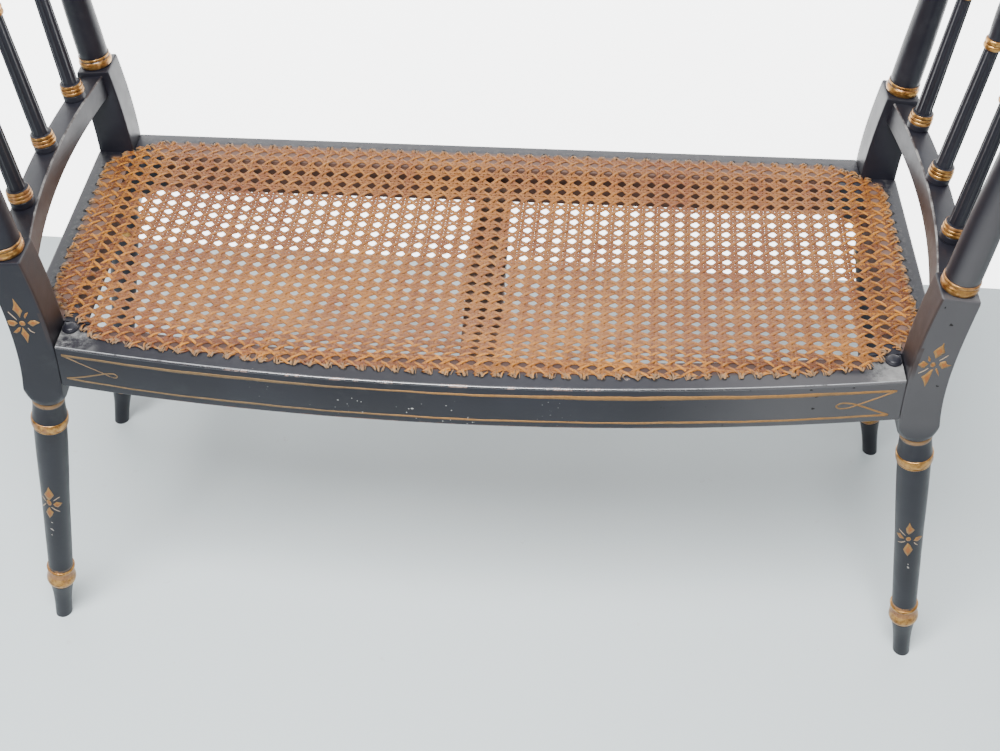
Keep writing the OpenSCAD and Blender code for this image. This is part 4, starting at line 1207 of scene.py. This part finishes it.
# the lines cross in a bow at each end
bow_r = crom([(392, -11.7), (378, -18.5), (362, -25.5), (349, -31.0), (340, -30.6), (337.6, -27.6), (341, -24.6), (351, -25.2),
              (364, -30.6), (377, -37.2), (390, -43.5)], 7)
bow_l = crom([(-394, -9.5), (-376, -17.6), (-356, -26), (-347.5, -30.0), (-343.2, -29.6), (-342, -27.6), (-344.6, -25.2), (-352, -26.0),
              (-364, -30.2), (-379, -35.6), (-395, -40)], 7)
b.add(*ribbon(bow_r, np.interp(np.arange(len(bow_r)), [0, 6, 20, 40, len(bow_r)], [2.2, 1.7, 1.6, 1.9, 2.0]), on_front))
b.add(*ribbon(bow_l, np.interp(np.arange(len(bow_l)), [0, 6, 20, 40, len(bow_l)], [2.2, 1.0, 0.9, 1.4, 1.7]), on_front))
o = b.obj("gold_lines_front_rail", [LINE], slot="gilt", sharp=None)

# ------------------------------------------------------------ flower sprigs


def fill(poly2, surf, thick=0.3, bury=0.4):
    """A thin closed patch with the outline poly2 (x, h), slightly domed."""
    p = np.array(poly2, float)
    c_ = p.mean(0)
    n = len(p)
    v_ = [surf(*q, -bury) for q in p] + [surf(*q, thick * 0.55) for q in p] + \
         [surf(*(c_ + (q - c_) * 0.55), thick) for q in p] + [surf(*c_, thick * 1.05), surf(*c_, -bury)]
    f_ = []
    for k in range(n):
        t = (k + 1) % n
        f_ += [[k, t, n + t, n + k], [n + k, n + t, 2 * n + t, 2 * n + k], [2 * n + k, 2 * n + t, 3 * n], [t, k, 3 * n + 1]]
    return np.array(v_), f_


def resample(pts, step=1.1):
    """Closed outline with a point about every step millimetres."""
    out_ = []
    for a_, c_ in zip(pts, pts[1:] + pts[:1]):
        a_, c_ = np.array(a_, float), np.array(c_, float)
        n = max(1, int(np.linalg.norm(c_ - a_) / step))
        out_ += [tuple(a_ + (c_ - a_) * k / n) for k in range(n)]
    return out_


def patch(bd, pts, surf, core=0, rim=1):
    """Petal: a pale rim round a redder middle."""
    v_, f_ = fill(resample(pts), surf)
    n = (len(v_) - 2) // 3
    bd.add(v_, f_, [core if k % 4 == 2 else rim for k in range(4 * n)])


def sprig(name, petals, strokes, eye, surf):
    bd = Build()
    for p_ in petals:
        patch(bd, p_, surf)
    for st in strokes:
        q_ = crom(st, 5)
        ww = [0.55 + 0.55 * math.sin(math.pi * k / (len(q_) - 1)) for k in range(len(q_))]
        v_, f_, mi_ = ribbon(q_, np.array(ww), surf, 0.22)
        bd.add(v_, f_, 2)
    ex_, eh_, ra, rb = eye
    ring_ = [(ex_ + ra * math.cos(2 * math.pi * k / 18), eh_ + rb * math.sin(2 * math.pi * k / 18)) for k in range(18)]
    patch(bd, ring_, surf)
    bd.obj(name, [SPRIG, SPRIG_EDGE, SPRIG_PALE], slot="gilt", sharp=None)


def on_block(x, h, out):
    lim = face_x(h, _outer) - 1.7
    return [max(-lim, min(lim, x)), Y_FF - out, SEAT + h]


def leg_surf(sign):
    sp = SPLAY["front"]

    def surf(x, h, out):
        # the point of the turned leg with this x and height
        u_ax = LEG_X - (h - LEG_Z) * math.tan(sp)
        dx = (abs(x) - u_ax) * math.cos(sp)
        L = (SEAT + LEG_Z) / math.cos(sp)
        u = L + (h - LEG_Z) / math.cos(sp)
        r_ = float(np.interp(u, [105, 160, 219, 262, L - 70, L - 44], [13.4, 14.05, 14.7, 15.7, 16.35, 16.5])) + out
        dx = max(-r_ * 0.97, min(r_ * 0.97, dx))
        return [sign * (u_ax + dx / math.cos(sp)), YF - math.sqrt(r_ * r_ - dx * dx), SEAT + h]
    return surf


BR = ([[(421.4, 50.1), (422.2, 45.2), (424.8, 38.2), (421.2, 34.0), (417.9, 30.5), (416.7, 33.7), (414.1, 38.6), (417.2, 43.5), (419.9, 46.3)],
       [(411.1, 33.4), (414.0, 29.8), (414.2, 26.0), (412.0, 27.1)],
       [(404.1, 21.6), (407.9, 26.9), (413.2, 23.4), (410.3, 18.1), (407.9, 18.5)],
       [(422.9, 22.7), (423.4, 26.3), (428.0, 27.8), (429.9, 23.7), (434.2, 22.7), (431.1, 20.3), (426.7, 17.8)],
       [(418.8, 17.0), (418.5, 10.3), (417.8, 1.1), (416.2, -5.9), (414.0, 0.3), (410.4, 6.6), (413.9, 10.4), (416.4, 15.2)],
       [(420.5, 17.4), (422.1, 18.2), (424.6, 13.2), (426.1, 8.1), (422.7, 13.1)]],
      [[(422.1, 28.1), (425.4, 31.2), (428.6, 35.0)],
       [(406.5, 10.9), (410.4, 13.8), (414.4, 18.0)]],
      (417.5, 22.4, 2.3, 3.0))
BL = ([[(-424.0, 59.4), (-421.5, 52.8), (-418.7, 44.7), (-420.9, 40.9), (-422.7, 36.1), (-424.6, 41.7), (-427.3, 46.0), (-425.0, 51.8)],
       [(-413.6, 43.2), (-415.6, 39.3), (-418.3, 35.1), (-418.8, 37.9), (-416.7, 41.8)],
       [(-417.2, 29.9), (-413.6, 33.0), (-409.8, 33.4), (-405.2, 30.8), (-409.6, 28.1), (-413.0, 25.7), (-415.4, 27.5)],
       [(-423.1, 23.9), (-421.2, 19.0), (-419.1, 14.6), (-421.0, 9.4), (-422.8, 3.9), (-424.0, 9.9), (-426.3, 16.2), (-424.4, 20.1)],
       [(-424.7, 23.9), (-426.7, 19.3), (-430.3, 16.3), (-433.4, 17.1), (-430.2, 20.4), (-427.1, 23.6)],
       [(-436.8, 31.0), (-433.4, 32.4), (-428.9, 31.8), (-426.5, 28.8), (-431.0, 25.0), (-434.2, 25.2), (-436.0, 27.7)]],
      [[(-432.3, 42.8), (-429.4, 38.0), (-426.4, 33.2)],
       [(-418.2, 23.6), (-416.3, 19.6), (-413.0, 17.5)]],
      (-422.2, 29.0, 2.8, 3.1))
LR = ([[(446.7, -206.2), (450.2, -212.9), (454.3, -217.4), (452.8, -221.7), (450.0, -225.6), (447.5, -223.3), (445.5, -217.4), (446.5, -211.4)],
       [(440.7, -234.0), (442.5, -229.6), (444.9, -232.1), (447.3, -234.4), (444.3, -237.7), (442.5, -236.6)],
       [(457.0, -235.3), (458.6, -230.4), (463.2, -230.5), (466.9, -234.4), (463.8, -236.7), (461.2, -237.2)],
       [(452.2, -240.5), (455.4, -243.2), (459.5, -250.6), (458.1, -257.3), (456.6, -262.1), (452.5, -256.9), (450.4, -252.8), (451.1, -245.7)]],
      [[(440.5, -223.9), (443.7, -226.3), (447.3, -228.9)],
       [(444.1, -245.8), (446.6, -242.8), (449.3, -238.1)],
       [(458.2, -238.3), (460.7, -241.5), (463.3, -243.9)]],
      (451.4, -233.5, 2.5, 3.3))
LL = ([[(-452.5, -208.7), (-450.9, -214.8), (-449.7, -222.4), (-453.9, -228.0), (-456.4, -230.8), (-458.8, -228.2), (-460.5, -222.8), (-456.2, -216.0)],
       [(-453.5, -237.2), (-449.5, -233.7), (-445.2, -238.7), (-447.4, -241.4), (-450.1, -243.3), (-452.5, -240.7)],
       [(-458.8, -242.6), (-458.2, -247.4), (-456.2, -250.6), (-459.2, -256.6), (-462.7, -261.1), (-464.2, -255.7), (-464.9, -252.3), (-461.6, -245.9)]],
      [[(-464.5, -228.9), (-462.4, -230.8), (-461.3, -233.6)],
       [(-468.8, -247.2), (-464.7, -241.5), (-461.9, -237.7)],
       [(-452.0, -231.4), (-448.4, -228.8), (-445.2, -227.0)],
       [(-456.5, -242.2), (-453.3, -246.6), (-450.0, -251.4)]],
      (-457.7, -234.8, 2.6, 4.5))

sprig("gold_sprig_block_right", *BR, on_block)
sprig("gold_sprig_block_left", *BL, on_block)
sprig("gold_sprig_leg_right", *LR, leg_surf(1))
sprig("gold_sprig_leg_left", *LL, leg_surf(-1))


def blot(cx_, ch_, ra, rb, turn=0.0):
    """Outline of a small uneven spot."""
    out_ = []
    for k in range(12):
        t_ = 2 * math.pi * k / 12
        w_ = 1 + 0.22 * math.sin(3 * t_ + cx_) + 0.12 * math.cos(2 * t_ + ch_)
        q_ = (ra * w_ * math.cos(t_), rb * w_ * math.sin(t_))
        out_.append((cx_ + q_[0] * math.cos(turn) - q_[1] * math.sin(turn), ch_ + q_[0] * math.sin(turn) + q_[1] * math.cos(turn)))
    return out_


def spots(name, items, mat):
    bd = Build()
    for (cx_, ch_, ra, rb, turn), surf in items:
        v_, f_ = fill(blot(cx_, ch_, ra, rb, turn), surf, 0.10, 0.3)
        bd.add(v_, f_, 0)
    bd.obj(name, [mat], slot="ebonised_wood", sharp=None)


# knocks in the paint: pale ones below the legs' sprigs, dark ones by the right end of the rail and on its block
spots("paint_knocks_pale", [((461.4, -281.5, 0.9, 2.0, 0.5), leg_surf(1)), ((460.2, -276.0, 0.5, 1.1, 0.2), leg_surf(1)),
                            ((-464.6, -281.0, 0.9, 2.3, 0.55), leg_surf(-1)), ((-462.0, -268.5, 0.9, 0.8, 0.0), leg_surf(-1)),
                            ((-467.0, -290.5, 0.6, 1.0, 0.0), leg_surf(-1))], CHIP)
spots("paint_knocks_dark", [((315.7, -29.4, 1.7, 1.2, 0.0), on_front), ((316.6, -14.0, 1.5, 0.8, 0.1), on_front),
                            ((310.2, -4.4, 1.5, 0.9, 0.0), on_front), ((349.9, -4.2, 1.3, 0.8, 0.0), on_front),
                            ((422.3, 71.9, 2.0, 1.2, -0.5), on_block), ((427.6, -4.5, 1.6, 0.9, -0.2), on_block),
                            ((412.3, 92.0, 0.8, 1.1, 0.0), on_block)], HOLE)

# --------------------------------------------------------- floor and wall


def stage_plane(name, verts, mat, seg=1):
    me = bpy.data.meshes.new(name)
    me.from_pydata(verts, [], [[0, 1, 2, 3]])
    me.materials.append(mat)
    o_ = bpy.data.objects.new(name, me)
    bpy.context.scene.collection.objects.link(o_)
    return o_


def one_sided(n):
    """The backdrop shows only its front, so it never stands between a viewer and the seat."""
    g_ = n.t.nodes.new("ShaderNodeNewGeometry")
    t_ = n.t.nodes.new("ShaderNodeBsdfTransparent")
    m_ = n.t.nodes.new("ShaderNodeMixShader")
    n.t.links.new(g_.outputs["Backfacing"], m_.inputs[0])
    n.t.links.new(n.b.outputs[0], m_.inputs[1])
    n.t.links.new(t_.outputs[0], m_.inputs[2])
    n.t.links.new(m_.outputs[0], n.out.inputs[0])


nf = Nodes("floor_pale")
a = nf.noise(1.6, 3.0, 0.5)
c0 = nf.mix(a, (0.672, 0.748, 0.765), (0.712, 0.785, 0.80))
c0 = nf.mix(nf.mul(nf.step(nf.noise(30.0, 4.0, 0.7), 0.66, 0.74), 0.25), c0, (0.50, 0.50, 0.49))
nf.bump(nf.noise(45.0, 4.0), 0.06, 0.001)
FLOOR = nf.set(color=c0, rough=0.55, spec=0.35)
nw = Nodes("wall_white_glowing")
WALL = nw.set(color=nw.mix(nw.noise(2.0, 3.0), (0.86, 0.86, 0.86), (0.90, 0.90, 0.895)), rough=0.8, spec=0.2)
# painted light: the wall glows, more strongly below 0.5 m than above 0.8 m, and is hidden from diffuse bounce
nw.b.inputs["Emission Color"].default_value = (1.0, 1.0, 1.0, 1.0)
nw.put(nw.b.inputs["Emission Strength"], nw.span(nw.step(nw.xyz()[2], 0.8, 0.5), 1.4, 4.2))
one_sided(nw)
WY = 0.533
floor = stage_plane("floor", [(-5, -4, 0), (5, -4, 0), (5, 5, 0), (-5, 5, 0)], FLOOR)
wall = stage_plane("wall", [(-5, WY + 0.134, 0), (5, WY - 0.134, 0), (5, WY - 0.134, 3.2), (-5, WY + 0.134, 3.2)], WALL)
wall.visible_diffuse = False

# ----------------------------------------------------------------- lights
world = bpy.data.worlds.new("World")
bpy.context.scene.world = world
world.use_nodes = True
bg = world.node_tree.nodes["Background"]
bg.inputs[0].default_value = (0.93, 0.96, 1.0, 1.0)
bg.inputs[1].default_value = 0.35


def area(name, loc, target, size, power, color=(1, 1, 1)):
    d = bpy.data.lights.new(name, "AREA")
    d.shape = "RECTANGLE"
    d.size, d.size_y = size
    d.energy = power
    d.color = color
    o_ = bpy.data.objects.new(name, d)
    bpy.context.scene.collection.objects.link(o_)
    o_.location = loc
    o_.rotation_mode = "QUATERNION"
    o_.rotation_quaternion = (Vector(target) - Vector(loc)).to_track_quat("-Z", "Y")
    return o_


area("key_left", (-2.3, -1.9, 1.9), (0, 0.1, 0.3), (0.9, 0.8), 30, (1.0, 0.995, 0.98))
area("key_right", (1.9, -2.0, 1.9), (0, 0.2, 0.3), (1.2, 1.1), 10)
area("sky_top", (-0.2, -1.0, 2.25), (0.0, 0.0, 0.4), (1.2, 0.8), 113, (0.99, 0.995, 1.0))
